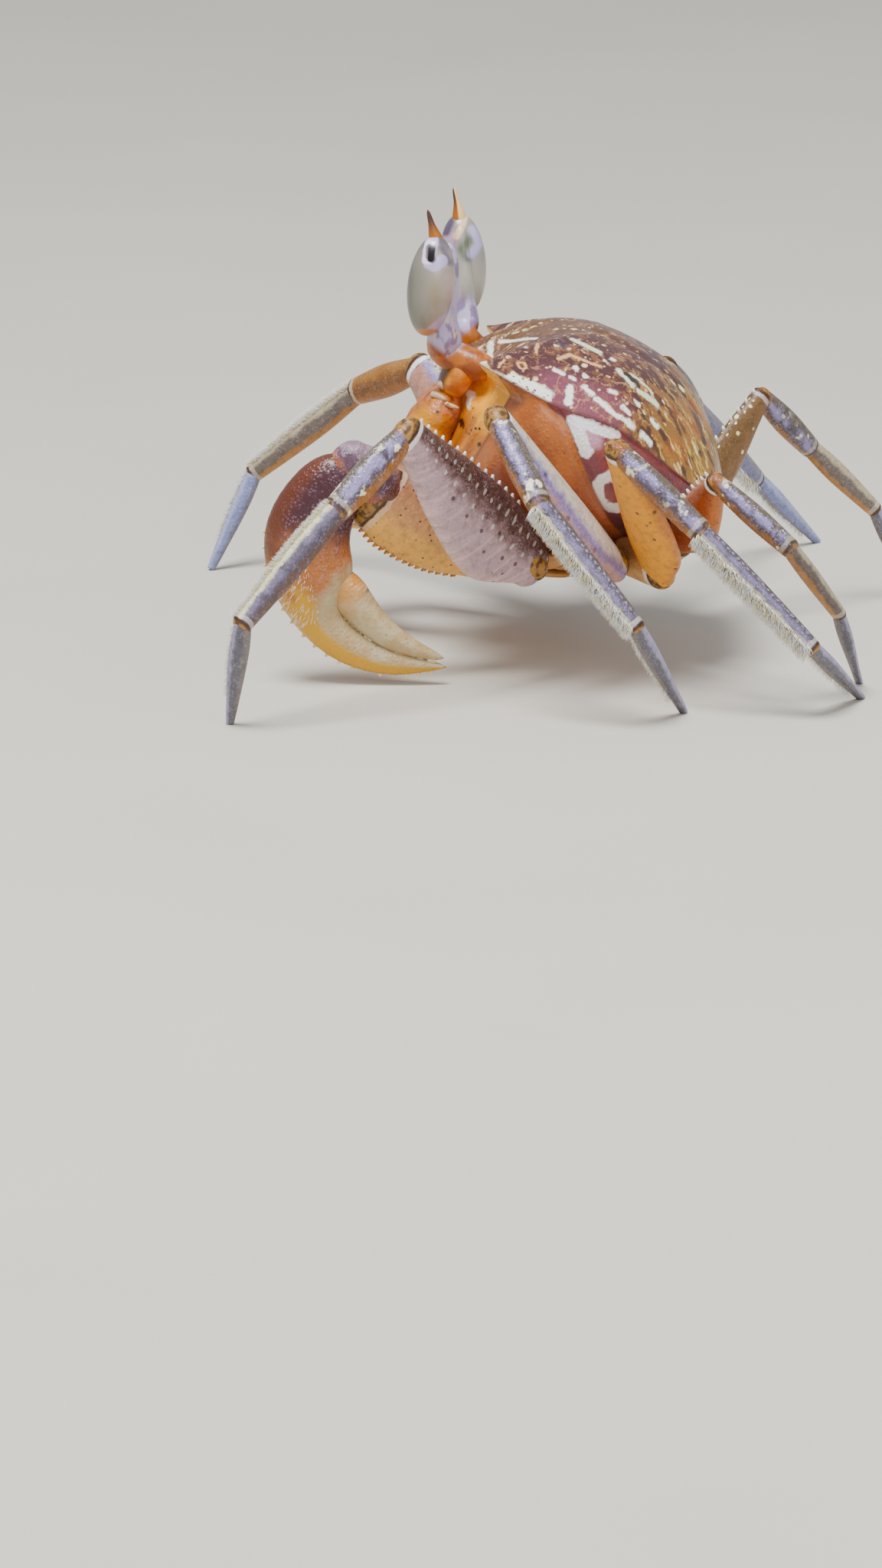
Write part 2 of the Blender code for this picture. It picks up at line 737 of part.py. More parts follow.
    def leg(self, side, number):
        lengths = LEG_LENGTHS[number]
        angles = STANCE[(side, number)]
        sign = 1 if side == "left" else -1
        left, back, up = LEG_SOCKETS[number]
        joints = [body_point(sign * left, back, up)]
        for length, (heading, climb) in zip(lengths[:4], angles[:4]):
            joints.append(joints[-1] + direction(heading, climb) * length)
        ankle = joints[-1]
        slope = math.degrees(math.asin(min(0.98, ankle.z / lengths[4])))
        toe = ankle + direction(angles[4], -slope) * lengths[4]
        toe.z = 0.0
        joints.append(toe)
        bend = (joints[2] - joints[1]).cross(joints[3] - joints[2]).normalized()
        width = MERUS_WIDTH[number]
        thick = MERUS_THICKNESS[number]
        slim = thick / 3.1
        ischium = Limb(
            joints[0], joints[1], bend,
            ((0.0, 4.6 * slim), (1.0, 4.4 * slim)),
            ((0.0, 3.6 * slim), (1.0, 3.2 * slim)),
        )
        merus = Limb(
            joints[1], joints[2], bend,
            ((0.0, 0.55 * width), (0.25, width), (0.6, 0.84 * width), (0.9, 0.5 * width), (1.0, 0.42 * width)),
            ((0.0, 0.9 * thick), (0.3, thick), (0.85, 0.9 * thick), (1.0, 0.85 * thick)),
            sides=10,
            lean=((0.0, 0.0), (0.3, 0.12 * width), (1.0, 0.0)),
        )
        carpus = Limb(
            joints[2], joints[3], bend,
            ((0.0, 2.6 * slim), (0.5, 3.5 * slim), (1.0, 2.9 * slim)),
            ((0.0, 2.2 * slim), (0.5, 2.8 * slim), (1.0, 2.5 * slim)),
        )
        propodus = Limb(
            joints[3], joints[4], bend,
            ((0.0, 2.5 * slim), (0.4, 3.0 * slim), (1.0, 2.2 * slim)),
            ((0.0, 2.1 * slim), (0.4, 2.2 * slim), (1.0, 1.8 * slim)),
        )
        dactyl = Limb(
            joints[4], joints[5], bend,
            ((0.0, 1.9 * slim), (0.3, 2.2 * slim), (0.8, 1.3 * slim), (1.0, FOOT_WIDTH)),
            ((0.0, 1.6 * slim), (0.3, 1.7 * slim), (0.8, 1.1 * slim), (1.0, FOOT_WIDTH)),
            foot=True,
        )
        prefix = "leg%d_%s_" % (number, side)
        names = ("ischium", "merus", "carpus", "propodus", "dactyl")
        limbs = (ischium, merus, carpus, propodus, dactyl)
        self.chain(prefix, names, limbs, "limb")
        combine(self.made[prefix + "merus"], merus.spines(SPINE_COUNTS[number]), "UNION")

    def chain(self, prefix, names, limbs, material):
        """Each piece is cut clear of the two before it; the first two are cut clear of the body."""
        done = []
        for name, limb in zip(names, limbs):
            item = self.node(prefix + name, limb.mesh(), material)
            cuts = [before.mesh(GAP) for before in done[-2:]]
            if name in ("ischium", "merus"):
                cuts.append(carapace_mesh(GAP))
            if name == "ischium":
                cuts.append(sternum_mesh(GAP))
            combine(item, cuts, "DIFFERENCE")
            if limb.foot:
                self.flatten_foot(item)
            done.append(limb)

    def flatten_foot(self, item):
        """Cuts the toe off level with the floor, a little above the sharp tip."""
        surface = bmesh.new()
        surface.from_mesh(item.data)
        geometry = surface.verts[:] + surface.edges[:] + surface.faces[:]
        floor = Vector((0.0, 0.0, 0.0))
        bmesh.ops.bisect_plane(
            surface, geom=geometry, dist=0.000001,
            plane_co=floor, plane_no=(0.0, 0.0, -1.0), clear_outer=True,
        )
        rim = [edge for edge in surface.edges if edge.is_boundary]
        if rim:
            bmesh.ops.holes_fill(surface, edges=rim, sides=0)
            bmesh.ops.triangulate(surface, faces=surface.faces)
            bmesh.ops.recalc_face_normals(surface, faces=surface.faces)
        surface.to_mesh(item.data)
        surface.free()

    def legs(self):
        for side, number in STANCE:
            self.leg(side, number)

    def settle(self):
        """Slides the whole crab so that the middle of its outer box stands over the origin."""
        points = [vertex.co for item in self.root.children for vertex in item.data.vertices]
        for axis in (0, 1):
            low = min(point[axis] for point in points)
            high = max(point[axis] for point in points)
            self.root.location[axis] = -(low + high) / 2
        bpy.context.view_layer.update()


def main():
    clear_scene()
    crab = Crab()
    crab.body()
    crab.eyes()
    crab.claws()
    crab.legs()
    crab.settle()


main()
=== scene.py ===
"""The ghost crab as it looks: shell, marks, granules, spinules and bristles over the plain solids.

Lengths are millimetres and angles degrees in the crab's own stance, until add_piece turns them to metres.
Body measures are (left, back, up) from the centre of the carapace margin, before the body is tilted.
"""

import math
import random

import bmesh
import bpy
from mathutils import Matrix
from mathutils import Vector


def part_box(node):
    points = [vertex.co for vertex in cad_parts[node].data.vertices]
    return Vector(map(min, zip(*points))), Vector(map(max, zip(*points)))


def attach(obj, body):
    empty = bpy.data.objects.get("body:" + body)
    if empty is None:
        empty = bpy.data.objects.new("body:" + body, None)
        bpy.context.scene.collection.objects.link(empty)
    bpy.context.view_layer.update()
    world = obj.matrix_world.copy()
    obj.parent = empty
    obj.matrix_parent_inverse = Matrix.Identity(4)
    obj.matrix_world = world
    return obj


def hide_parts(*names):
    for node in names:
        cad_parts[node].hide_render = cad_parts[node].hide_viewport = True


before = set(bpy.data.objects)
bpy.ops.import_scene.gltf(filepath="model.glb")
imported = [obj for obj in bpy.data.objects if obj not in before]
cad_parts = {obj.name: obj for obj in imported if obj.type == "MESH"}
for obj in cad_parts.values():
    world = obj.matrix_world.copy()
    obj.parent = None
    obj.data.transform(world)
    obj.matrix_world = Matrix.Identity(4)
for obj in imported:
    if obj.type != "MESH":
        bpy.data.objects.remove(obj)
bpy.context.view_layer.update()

MM = 0.001
SEED = 7

# Stance of the body.
BODY_HEIGHT = 24.3
BODY_PITCH = 29.0
BODY_ROLL = 5.0

# Carapace.
HALF_WIDTH = 18.3
REAR_BACK = 15.2
DOME_HEIGHT = 8.2
WALL_DEPTH = 13.0
REAR_WALL_DEPTH = 6.5
BELLY_SCALE = 0.64
REAR_TUCK = 0.14
FRONT_TUCK = 0.03
ROSTRUM_DROOP = 0.2
SIDE_RISE = 0.5
SIDE_CREST = 1.1
CREST_BACK = 1.3
CREST_REACH = 4.5
REAR_DROOP = 0.8
SHELL_COLUMNS = 300
SHELL_ROWS = 180
FRONT_EDGE = (
    (0.0, -14.4), (1.5, -13.8), (2.3, -12.6), (4.6, -11.6), (9.5, -11.1), (14.2, -11.9), (17.2, -13.2),
)
SIDE_EDGE = (
    (17.2, -13.2), (17.9, -10.5), (HALF_WIDTH, -5.0), (17.8, 1.0), (15.6, 7.0), (12.2, 12.0), (9.0, 14.8),
    (4.5, REAR_BACK), (0.0, REAR_BACK),
)
LEVEL_STOPS = ((0.0, 0.0), (0.44, 0.94), (0.56, 1.06), (0.86, 2.0), (1.0, 3.0))
EDGE_GROW = 0.011
SEAM_CUT = 0.018

# Orbit: the long socket under the front edge.
ORBIT_LEFT = 9.0
ORBIT_UP = -3.2
ORBIT_BACK = -13.6
ORBIT_HALF_WIDTH = 7.2
ORBIT_HALF_HEIGHT = 2.5
ORBIT_DEPTH = 4.0

# The seam that parts the smooth cheek from the side wall: (back, up) from front to rear.
SEAM = ((-5.8, 1.5), (-5.4, 0.4), (-3.1, -0.2), (0.1, -2.8), (4.2, -6.0), (6.4, -7.4), (12.0, -10.0))

# Where the cheek turns into the face, and how far the corner under the orbital tooth is drawn in.
FACE_BACK = -10.8
CORNER_IN = 3.2
CORNER_BACK = 2.6

# Underside.
STERNUM_FRONT = -9.0
STERNUM_DEPTH = 2.8
STERNUM_SPREADS = ((0.0, 0.0), (0.25, 0.45), (0.5, 0.78), (0.7, 0.92), (0.85, 0.9), (1.0, 0.0))
STERNUM_DROPS = ((0.0, STERNUM_DEPTH), (0.25, 2.65), (0.5, 2.2), (0.7, 1.3), (0.85, 0.2), (1.0, 0.0))
STERNUM_SEAMS = (-5.5, -1.5, 2.5, 6.5)
GAP = 0.3
ABDOMEN_THICKNESS = 1.1
ABDOMEN_STATIONS = ((-5.0, 0.9), (-3.5, 1.6), (1.0, 2.2), (6.0, 2.8), (10.0, 3.8), (12.6, 4.2))
ABDOMEN_SEAMS = (-2.6, 0.2, 3.0, 5.8, 8.6, 11.0)
JAW_CENTRE = (2.2, -13.7, -9.3)
JAW_RADII = (3.1, 2.6, 4.7)

# Face: small forms round the sockets, as (left, back, up) places and a width.
FACE_RODS = (
    ("feeler", ((3.5, -15.4, -4.8), (3.6, -14.7, -4.75), (3.7, -13.7, -4.75)), 0.38),
    ("ridge", ((3.8, -15.5, -6.0), (4.0, -14.7, -5.85), (4.4, -13.8, -5.75)), 0.32),
    ("lip", ((4.5, -13.8, -6.1), (4.6, -13.1, -6.0), (4.7, -12.3, -5.8)), 0.25),
    ("bead", ((1.1, -15.4, -3.5), (1.1, -15.7, -3.6), (1.1, -15.9, -3.6)), 0.34),
)
FACE_PLATE = ((0.0, -13.9, -3.3), (4.9, 1.7, 2.5))

# Eyes.
EYE_RADIUS = 2.35
EYE_HALF_LENGTH = 5.1
STALK_ROOT = (4.2, -10.9, -1.0)
STALK_ROOT_RADIUS = 1.7
FAR_STALK_SLIMMING = 0.7
STALK_STATIONS = (
    (-6.9, 3.1, 1.6),
    (-5.4, 2.4, 1.75),
    (-3.4, 2.0, 1.45),
    (-1.5, 2.3, 0.95),
    (0.0, 2.35, 0.85),
    (2.9, 2.0, 0.75),
    (4.4, 1.35, 0.65),
)
HORN_STATIONS = ((0.0, 0.85), (0.25, 0.68), (0.6, 0.34), (0.9, 0.2), (1.0, 0.12))
HORN_LENGTH = 2.8
EYE_CENTRES = {"left": (5.0, -16.2, 37.9), "right": (-5.0, -13.7, 38.4)}
EYE_LEANS = {"left": (90, 83), "right": (-90, 86)}
EYE_INNER_HEADINGS = {"left": 127, "right": 5}
HORN_LEANS = {"left": (-90, 70), "right": (-80, 78)}

# Claws. A limb's form is its widths, thicknesses and sideways lean as (share along, measure) stations.
NO_LEAN = ((0.0, 0.0), (1.0, 0.0))
BASE_ROUND = 0.4
END_ROUND = 0.375
TOOTH_SINK = 0.12
CLAW_FORMS = {
    "ischium": (((0.0, 3.6), (1.0, 4.4)), ((0.0, 3.2), (1.0, 3.6))),
    "merus": (
        ((0.0, 4.8), (0.35, 7.8), (0.8, 8.4), (1.0, 7.0)),
        ((0.0, 3.6), (0.5, 4.4), (1.0, 3.8)),
        ((0.0, 0.0), (0.5, 0.6), (1.0, 1.0)),
    ),
    "carpus": (((0.0, 4.4), (0.5, 6.0), (1.0, 4.6)), ((0.0, 3.8), (0.5, 5.0), (1.0, 3.8))),
}
CLAW_LOOKS = {
    "left": ("ischium", "claw merus", "claw carpus", "palm", "finger"),
    "right": ("ischium", "claw merus", "claw carpus", "small palm", "finger"),
}
CLAW_SOCKET = (8.0, -6.3, -13.2)
CLAW_LENGTHS = {"left": (5.9, 12.4, 5.2, 28.3), "right": (5.6, 10.7, 4.0, 18.0)}
CLAW_SIZE = {"left": 1.0, "right": 0.68}
CLAW_STANCE = {
    "left": ((18, -50), (-70, 36), (-66, 40)),
    "right": ((174, -36), (-113, 18), (-71, -14)),
}
CLAW_START = {"left": (-88, -60), "right": (-10, -14)}
CLAW_NORMAL = {"left": (3, 2), "right": (-60, 78)}
CLAW_TURN = 110.0
CLAW_STEPS = 56
PALM = (
    (0.0, 4.8, 3.6, 0.0),
    (0.12, 6.9, 4.8, 0.5),
    (0.28, 8.4, 5.4, 1.0),
    (0.42, 8.4, 5.0, 0.8),
    (0.5, 7.0, 4.2, 1.0),
    (0.57, 4.6, 3.1, 1.85),
    (0.7, 3.5, 2.4, 1.75),
    (0.85, 2.3, 1.7, 1.2),
    (0.95, 1.2, 1.1, 0.7),
    (1.0, 0.7, 0.8, 0.5),
)
FINGER = (
    (0.45, 3.0, 2.8, -1.9),
    (0.55, 3.8, 2.9, -1.95),
    (0.66, 3.4, 2.5, -1.8),
    (0.8, 2.6, 1.9, -1.1),
    (0.92, 1.4, 1.3, -0.6),
    (0.985, 0.7, 0.8, -0.35),
)

# Legs 1 to 4 behind the claws. The merus form is in shares of its own width and thickness.
PARTS = ("ischium", "merus", "carpus", "propodus", "dactyl")
LEG_FORMS = {
    "ischium": (((0.0, 4.6), (1.0, 4.4)), ((0.0, 3.6), (1.0, 3.2))),
    "carpus": (((0.0, 2.6), (0.5, 3.5), (1.0, 2.9)), ((0.0, 2.2), (0.5, 2.8), (1.0, 2.5))),
    "propodus": (((0.0, 2.5), (0.4, 3.0), (1.0, 2.2)), ((0.0, 2.1), (0.4, 2.2), (1.0, 1.8))),
    "dactyl": (((0.0, 1.9), (0.3, 2.2), (0.8, 1.3)), ((0.0, 1.6), (0.3, 1.7), (0.8, 1.1))),
}
MERUS_SPINES = {1: (15, 0.5), 2: (9, 0.6), 3: (9, 0.6), 4: (9, 0.6)}
MERUS_FORM = (
    ((0.0, 0.55), (0.25, 1.0), (0.6, 0.84), (0.9, 0.5), (1.0, 0.42)),
    ((0.0, 0.9), (0.3, 1.0), (0.85, 0.9), (1.0, 0.85)),
    ((0.0, 0.0), (0.3, 0.12), (1.0, 0.0)),
)
# Fringes of bristles: legs, part, hairs on the left and right side, along, turns, length, radius, sweep.
FRINGES = (
    (2, "propodus", (2600, 900), (0.0, 1.0), (-0.08, 0.2), 1.05, 0.06, 0.5),
    (2, "dactyl", (420, 420), (0.0, 0.8), (-0.1, 0.06), 0.75, 0.035, 0.9),
    (3, "propodus", (2600, 900), (0.0, 1.0), (-0.08, 0.2), 1.05, 0.06, 0.5),
    (3, "dactyl", (420, 420), (0.0, 0.8), (-0.1, 0.06), 0.75, 0.035, 0.9),
    (1, "propodus", (1500, 1500), (0.0, 1.0), (0.38, 0.54), 0.6, 0.04, 0.4),
    (1, "dactyl", (300, 300), (0.0, 0.7), (0.4, 0.55), 0.5, 0.035, 0.8),
)
HAIRS_A_BATCH = 150
LEG_LOOKS = {
    ("left", 1): ("ischium", "broad merus", "dark carpus", "pale propodus", "dactyl"),
    ("left", 2): ("ischium", "violet merus", "dark carpus", "fringed propodus", "dactyl"),
    ("left", 3): ("ischium", "orange merus", "dark carpus", "fringed propodus", "dactyl"),
    ("left", 4): ("ischium", "red merus", "dark carpus", "warm propodus", "dactyl"),
    ("right", 1): ("ischium", "violet merus", "warm carpus", "warm propodus", "blue dactyl"),
    ("right", 2): ("ischium", "spotted merus", "dark carpus", "fringed propodus", "blue dactyl"),
    ("right", 3): ("ischium", "spotted merus", "dark carpus", "blue propodus", "blue dactyl"),
    ("right", 4): ("ischium", "spotted merus", "dark carpus", "warm propodus", "dactyl"),
}
LEG_LENGTHS = {
    1: (5.0, 22.3, 10.5, 15.0, 11.3),
    2: (5.0, 23.2, 10.3, 15.3, 13.2),
    3: (5.0, 18.8, 11.3, 15.8, 12.6),
    4: (3.5, 15.0, 9.8, 10.2, 10.8),
}
MERUS_WIDTH = {1: 9.0, 2: 8.4, 3: 7.2, 4: 5.2}
MERUS_THICKNESS = {1: 3.1, 2: 3.1, 3: 2.9, 4: 2.4}
LEG_SOCKETS = {
    1: (10.0, -1.5, -13.0),
    2: (10.0, 4.5, -12.0),
    3: (9.2, 9.3, -10.0),
    4: (6.8, 12.6, -7.6),
}
STANCE = {
    ("left", 1): ((20, -31), (-44, 43), (-49, -37), (-51, -42), -153),
    ("left", 2): ((50, -6), (-41, 46), (35, -42), (74, -49), 148),
    ("left", 3): ((43, -9), (-17, 50), (68, -39), (83, -45), 153),
    ("left", 4): ((21, 22), (20, 34), (67, -36), (136, -48), 163),
    ("right", 1): ((179, -25), (-140, 34), (-136, -21), (-106, -39), -62),
    ("right", 2): ((170, -15), (-168, 39), (175, -33), (172, -40), 165),
    ("right", 3): ((171, 10), (171, 42), (166, -31), (149, -38), 138),
    ("right", 4): ((150, 25), (137, 44), (140, -40), (114, -44), 125),
}
FOOT_WIDTH = 0.8

# Viewpoint: heading and height of the camera seen from the body, and where it looks.
VIEW_HEADING = -3.0
VIEW_HEIGHT = 11.0
VIEW_DISTANCE = 900.0
VIEW_TARGET = (0.0, 0.0, 24.3)
VIEW_OFFSET = (15.385, 37.385)
LENS = 205.66
SENSOR = 36.0

# From a colour as it should look in this room to the paint that looks so: the room adds haze and pales it.
PAINT_GAIN = 1.1
PAINT_RICHNESS = 1.02
PAINT_DEPTH = 1.35
PAINT_HAZE = 0.006
PAINT_SUN = 0.08
PAINT_MOST = 0.9


# Numbers and curves.

UPRIGHT = Vector((0.0, 0.0, 1.0))


def clip(share):
    return max(0.0, min(1.0, share))


def ease(share):
    share = clip(share)
    return share * share * (3.0 - 2.0 * share)


def blend(low, high, share):
    return low + (high - low) * ease(share)


def bell(value):
    return math.exp(-value * value)


def curve_value(stations, at):
    """The value at a station on a smooth curve through (station, value) pairs."""
    if at <= stations[0][0]:
        return stations[0][1]
    if at >= stations[-1][0]:
        return stations[-1][1]
    for i in range(len(stations) - 1):
        if at <= stations[i + 1][0]:
            break
    (x1, y1), (x2, y2) = stations[i], stations[i + 1]
    x0, y0 = stations[max(i - 1, 0)]
    x3, y3 = stations[min(i + 2, len(stations) - 1)]
    span = x2 - x1
    rise1 = (y2 - y0) / (x2 - x0) * span
    rise2 = (y3 - y1) / (x3 - x1) * span
    t = (at - x1) / span
    return (
        (2 * t ** 3 - 3 * t ** 2 + 1) * y1
        + (t ** 3 - 2 * t ** 2 + t) * rise1
        + (3 * t ** 2 - 2 * t ** 3) * y2
        + (t ** 3 - t ** 2) * rise2
    )


def smooth_path(points, steps):
    ends = [points[0] * 2 - points[1]] + list(points) + [points[-1] * 2 - points[-2]]
    path = []
    for before, start, end, after in zip(ends, ends[1:], ends[2:], ends[3:]):
        for step in range(steps):
            t = step / steps
            path.append(0.5 * (
                2 * start
                + (end - before) * t
                + (2 * before - 5 * start + 4 * end - after) * t ** 2
                + (3 * start - before - 3 * end + after) * t ** 3
            ))
    path.append(points[-1].copy())
    return path


def even_path(points, count):
    """The same path in a given number of equal runs."""
    marks = [0.0]
    for start, end in zip(points, points[1:]):
        marks.append(marks[-1] + (end - start).length)
    path = []
    i = 0
    for step in range(count + 1):
        at = marks[-1] * step / count
        while i < len(points) - 2 and marks[i + 1] < at:
            i += 1
        run = max(marks[i + 1] - marks[i], 0.000001)
        path.append(points[i].lerp(points[i + 1], (at - marks[i]) / run))
    return path


def direction(heading, climb):
    heading = math.radians(heading)
    climb = math.radians(climb)
    flat = math.cos(climb)
    return Vector((flat * math.cos(heading), flat * math.sin(heading), math.sin(climb)))


def body_point(left, back, up):
    roll = math.radians(BODY_ROLL)
    pitch = math.radians(BODY_PITCH)
    side = left * math.cos(roll) - up * math.sin(roll)
    lift = left * math.sin(roll) + up * math.cos(roll)
    return Vector((
        side,
        back * math.cos(pitch) + lift * math.sin(pitch),
        BODY_HEIGHT - back * math.sin(pitch) + lift * math.cos(pitch),
    ))


def body_on_side(side, place):
    """A body place given for the left side, on either side."""
    left, back, up = place
    return body_point(left if side == "left" else -left, back, up)


def square_to(axis, heading):
    """The part of a heading that is square to an axis."""
    return (heading - axis * heading.dot(axis)).normalized()


# Where the stance stands in the room: the near eye is the same in both.
EYE_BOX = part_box("eye_left")
ROOM_SHIFT = Vector([(EYE_BOX[0][i] + EYE_BOX[1][i]) / 2 / MM - EYE_CENTRES["left"][i] for i in range(3)])
ROOM_SHIFT.z = 0.0


def view_axes():
    """Unit directions from the crab to the camera, to the picture's right and to its top."""
    heading = math.radians(VIEW_HEADING)
    height = math.radians(VIEW_HEIGHT)
    back = Vector((
        math.cos(height) * math.cos(heading),
        -math.cos(height) * math.sin(heading),
        math.sin(height),
    ))
    right = Vector((math.sin(heading), math.cos(heading), 0.0))
    return back, right, back.cross(right)


# Colours and node trees.

def rgb(red, green, blue):
    """The paint that looks like a screen colour, 0 to 255, under this light."""
    made = []
    for value in (red, green, blue):
        value /= 255.0
        made.append(value / 12.92 if value <= 0.04045 else ((value + 0.055) / 1.055) ** 2.4)
    made = [max(0.0, value - PAINT_HAZE) for value in made]
    made[1] += PAINT_SUN * max(0.0, made[0] - made[2])
    grey = sum(made) / 3.0
    made = [max(0.0001, grey + (value - grey) * PAINT_RICHNESS) for value in made]
    return tuple(min(PAINT_MOST, PAINT_GAIN * value ** PAINT_DEPTH) for value in made) + (1.0,)


class Tree:
    """Adds nodes to one material or group. An input may be a socket or a plain value."""

    def __init__(self, tree):
        self.tree = tree

    def node(self, kind, inputs=None, **settings):
        made = self.tree.nodes.new(kind)
        for key, value in settings.items():
            setattr(made, key, value)
        for key, value in (inputs or {}).items():
            self.feed(made.inputs[key], value)
        return made

    def feed(self, socket, value):
        if isinstance(value, bpy.types.NodeSocket):
            self.tree.links.new(value, socket)
        else:
            socket.default_value = value

    def maths(self, operation, first, second=0.0, third=0.0):
        made = self.node("ShaderNodeMath", {0: first, 1: second, 2: third}, operation=operation)
        return made.outputs[0]

    def times(self, first, *others):
        for other in others:
            first = self.maths("MULTIPLY", first, other)
        return first

    def plus(self, first, second):
        return self.maths("ADD", first, second)

    def minus(self, first, second):
        return self.maths("SUBTRACT", first, second)

    def most(self, first, *others):
        for other in others:
            first = self.maths("MAXIMUM", first, other)
        return first

    def gap(self, first, second):
        """How far apart two values are."""
        return self.maths("ABSOLUTE", self.minus(first, second))

    def along(self, value, slope, start):
        return self.maths("MULTIPLY_ADD", value, slope, start)

    def vector(self, operation, first, second=(0.0, 0.0, 0.0)):
        made = self.node("ShaderNodeVectorMath", {0: first, 1: second}, operation=operation)
        return made.outputs["Value" if operation in ("LENGTH", "DOT_PRODUCT") else "Vector"]

    def scaled(self, vector, factor):
        made = self.node("ShaderNodeVectorMath", {0: vector, "Scale": factor}, operation="SCALE")
        return made.outputs["Vector"]

    def split(self, vector):
        return self.node("ShaderNodeSeparateXYZ", {0: vector}).outputs

    def join(self, x, y, z):
        return self.node("ShaderNodeCombineXYZ", {0: x, 1: y, 2: z}).outputs[0]

    def band(self, value, low, high):
        """0 at low and below, 1 at high and above, smooth between; low may be the greater."""
        made = self.node(
            "ShaderNodeMapRange",
            {"Value": value, "From Min": low, "From Max": high},
            interpolation_type="SMOOTHSTEP",
        )
        return made.outputs["Result"]

    def mix(self, share, first, second):
        made = self.node("ShaderNodeMix", {0: share, 6: first, 7: second}, data_type="RGBA")
        return made.outputs[2]

    def paint(self, colour, mask, paint, strength=None):
        """Lays a paint over a colour where the mask is 1."""
        return self.mix(mask if strength is None else self.times(mask, strength), colour, paint)

    def shade(self, share, colour, factor):
        """Darkens or lightens a colour by a factor where share is 1."""
        return self.mix(share, colour, self.scaled(colour, factor))

    def noise(self, place, scale, detail=3.0, lean=0.0):
        return self.node(
            "ShaderNodeTexNoise",
            {"Vector": place, "Scale": scale, "Detail": detail, "Distortion": lean},
        ).outputs

    def cloud(self, place, scale, detail=3.0, lean=0.0):
        return self.noise(place, scale, detail, lean)["Fac"]

    def wander(self, place, scale, detail):
        """Small shifts of place that make a painted edge uneven."""
        return self.vector("SUBTRACT", self.noise(place, scale, detail)["Color"], (0.5, 0.5, 0.5))

    def patches(self, place, scale, detail, low, high):
        return self.band(self.cloud(place, scale, detail), low, high)

    def cells(self, place, scale):
        return self.node("ShaderNodeTexVoronoi", {"Vector": place, "Scale": scale}).outputs["Distance"]

    def specks(self, place, scale, low, high):
        return self.band(self.cells(place, scale), low, high)

    def attribute(self, name):
        return self.node("ShaderNodeAttribute", attribute_name=name).outputs["Vector"]

    def place(self):
        """Object coordinates in millimetres."""
        return self.scaled(self.node("ShaderNodeTexCoord").outputs["Object"], 1000.0)

    def filled(self, group, inputs):
        """A shared group with its inputs set; gives its outputs."""
        made = self.node("ShaderNodeGroup", node_tree=group)
        for key, value in inputs.items():
            self.feed(made.inputs[key], value)
        return made.outputs

    def line(self, place, points, half_width, blur=0.15):
        """A painted line through several places as one mask."""
        masks = []
        for start, end in zip(points, points[1:]):
            inputs = {"Place": place, "Start": start, "End": end, "Half Width": half_width, "Blur": blur}
            masks.append(self.filled(STROKE, inputs)["Mask"])
        return self.most(*masks)

    def lines(self, place, lines, blur):
        """Several painted lines, each with its own half width, as one mask."""
        return self.most(*[self.line(place, points, half_width, blur) for points, half_width in lines])

    def marks(self, colour, place, marks):
        """Paints (points, half width, blur, paint, strength) marks one over another."""
        for points, half_width, blur, paint, strength in marks:
            colour = self.paint(colour, self.line(place, points, half_width, blur), rgb(*paint), strength)
        return colour

    def grained(self, shader, place, granules, strength):
        """Gives a shader the shell's fine relief and hands back the granules' mask."""
        grain = self.filled(GRAIN, {"Place": place, "Granules": granules, "Strength": strength})
        self.feed(shader["Normal"], grain["Normal"])
        return grain["Granule"]

    def finish(self, shader, place, colour, granules, strength, roughness):
        self.grained(shader, place, granules, strength)
        self.feed(shader["Base Color"], colour)
        shader["Roughness"].default_value = roughness


def new_group(name, inputs, outputs):
    """A shader node group with inputs as {name: default} and outputs as {name: kind}."""
    group = bpy.data.node_groups.new(name, "ShaderNodeTree")
    for label, default in inputs.items():
        kind = "Float" if isinstance(default, float) else ("Vector" if len(default) == 3 else "Color")
        socket = group.interface.new_socket(label, in_out="INPUT", socket_type="NodeSocket" + kind)
        socket.default_value = default
    for label, kind in outputs.items():
        group.interface.new_socket(label, in_out="OUTPUT", socket_type="NodeSocket" + kind)
    tree = Tree(group)
    return group, tree, tree.node("NodeGroupInput").outputs, tree.node("NodeGroupOutput").inputs


WHITE = (1.0, 1.0, 1.0, 1.0)
NOWHERE = (0.0, 0.0, 0.0)


def stroke_group():
    """A mask that is 1 within a given width of a line between two places."""
    group, tree, entry, leave = new_group(
        "stroke",
        {"Place": NOWHERE, "Start": NOWHERE, "End": NOWHERE, "Half Width": 0.5, "Blur": 0.15},
        {"Mask": "Float"},
    )
    from_start = tree.vector("SUBTRACT", entry["Place"], entry["Start"])
    run = tree.vector("SUBTRACT", entry["End"], entry["Start"])
    length = tree.most(tree.vector("DOT_PRODUCT", run, run), 0.0001)
    share = tree.maths("DIVIDE", tree.vector("DOT_PRODUCT", from_start, run), length)
    share = tree.node("ShaderNodeClamp", {0: share}).outputs[0]
    away = tree.vector("LENGTH", tree.vector("SUBTRACT", from_start, tree.scaled(run, share)))
    outer = tree.plus(entry["Half Width"], entry["Blur"])
    inner = tree.minus(entry["Half Width"], entry["Blur"])
    tree.feed(leave["Mask"], tree.band(away, outer, inner))
    return group


def grain_group():
    """Fine relief of the shell: rounded granules, and patches of softer noise."""
    group, tree, entry, leave = new_group(
        "grain",
        {"Place": NOWHERE, "Granules": 2.6, "Strength": 0.25, "Distance": 0.0001},
        {"Normal": "Vector", "Granule": "Float"},
    )
    granule = tree.band(tree.cells(entry["Place"], entry["Granules"]), 0.6, 0.1)
    height = tree.plus(granule, tree.times(tree.cloud(entry["Place"], 0.55, 4.0), 0.6))
    bump = tree.node(
        "ShaderNodeBump",
        {"Strength": entry["Strength"], "Distance": entry["Distance"], "Height": height},
    )
    tree.feed(leave["Normal"], bump.outputs[0])
    tree.feed(leave["Granule"], granule)
    return group


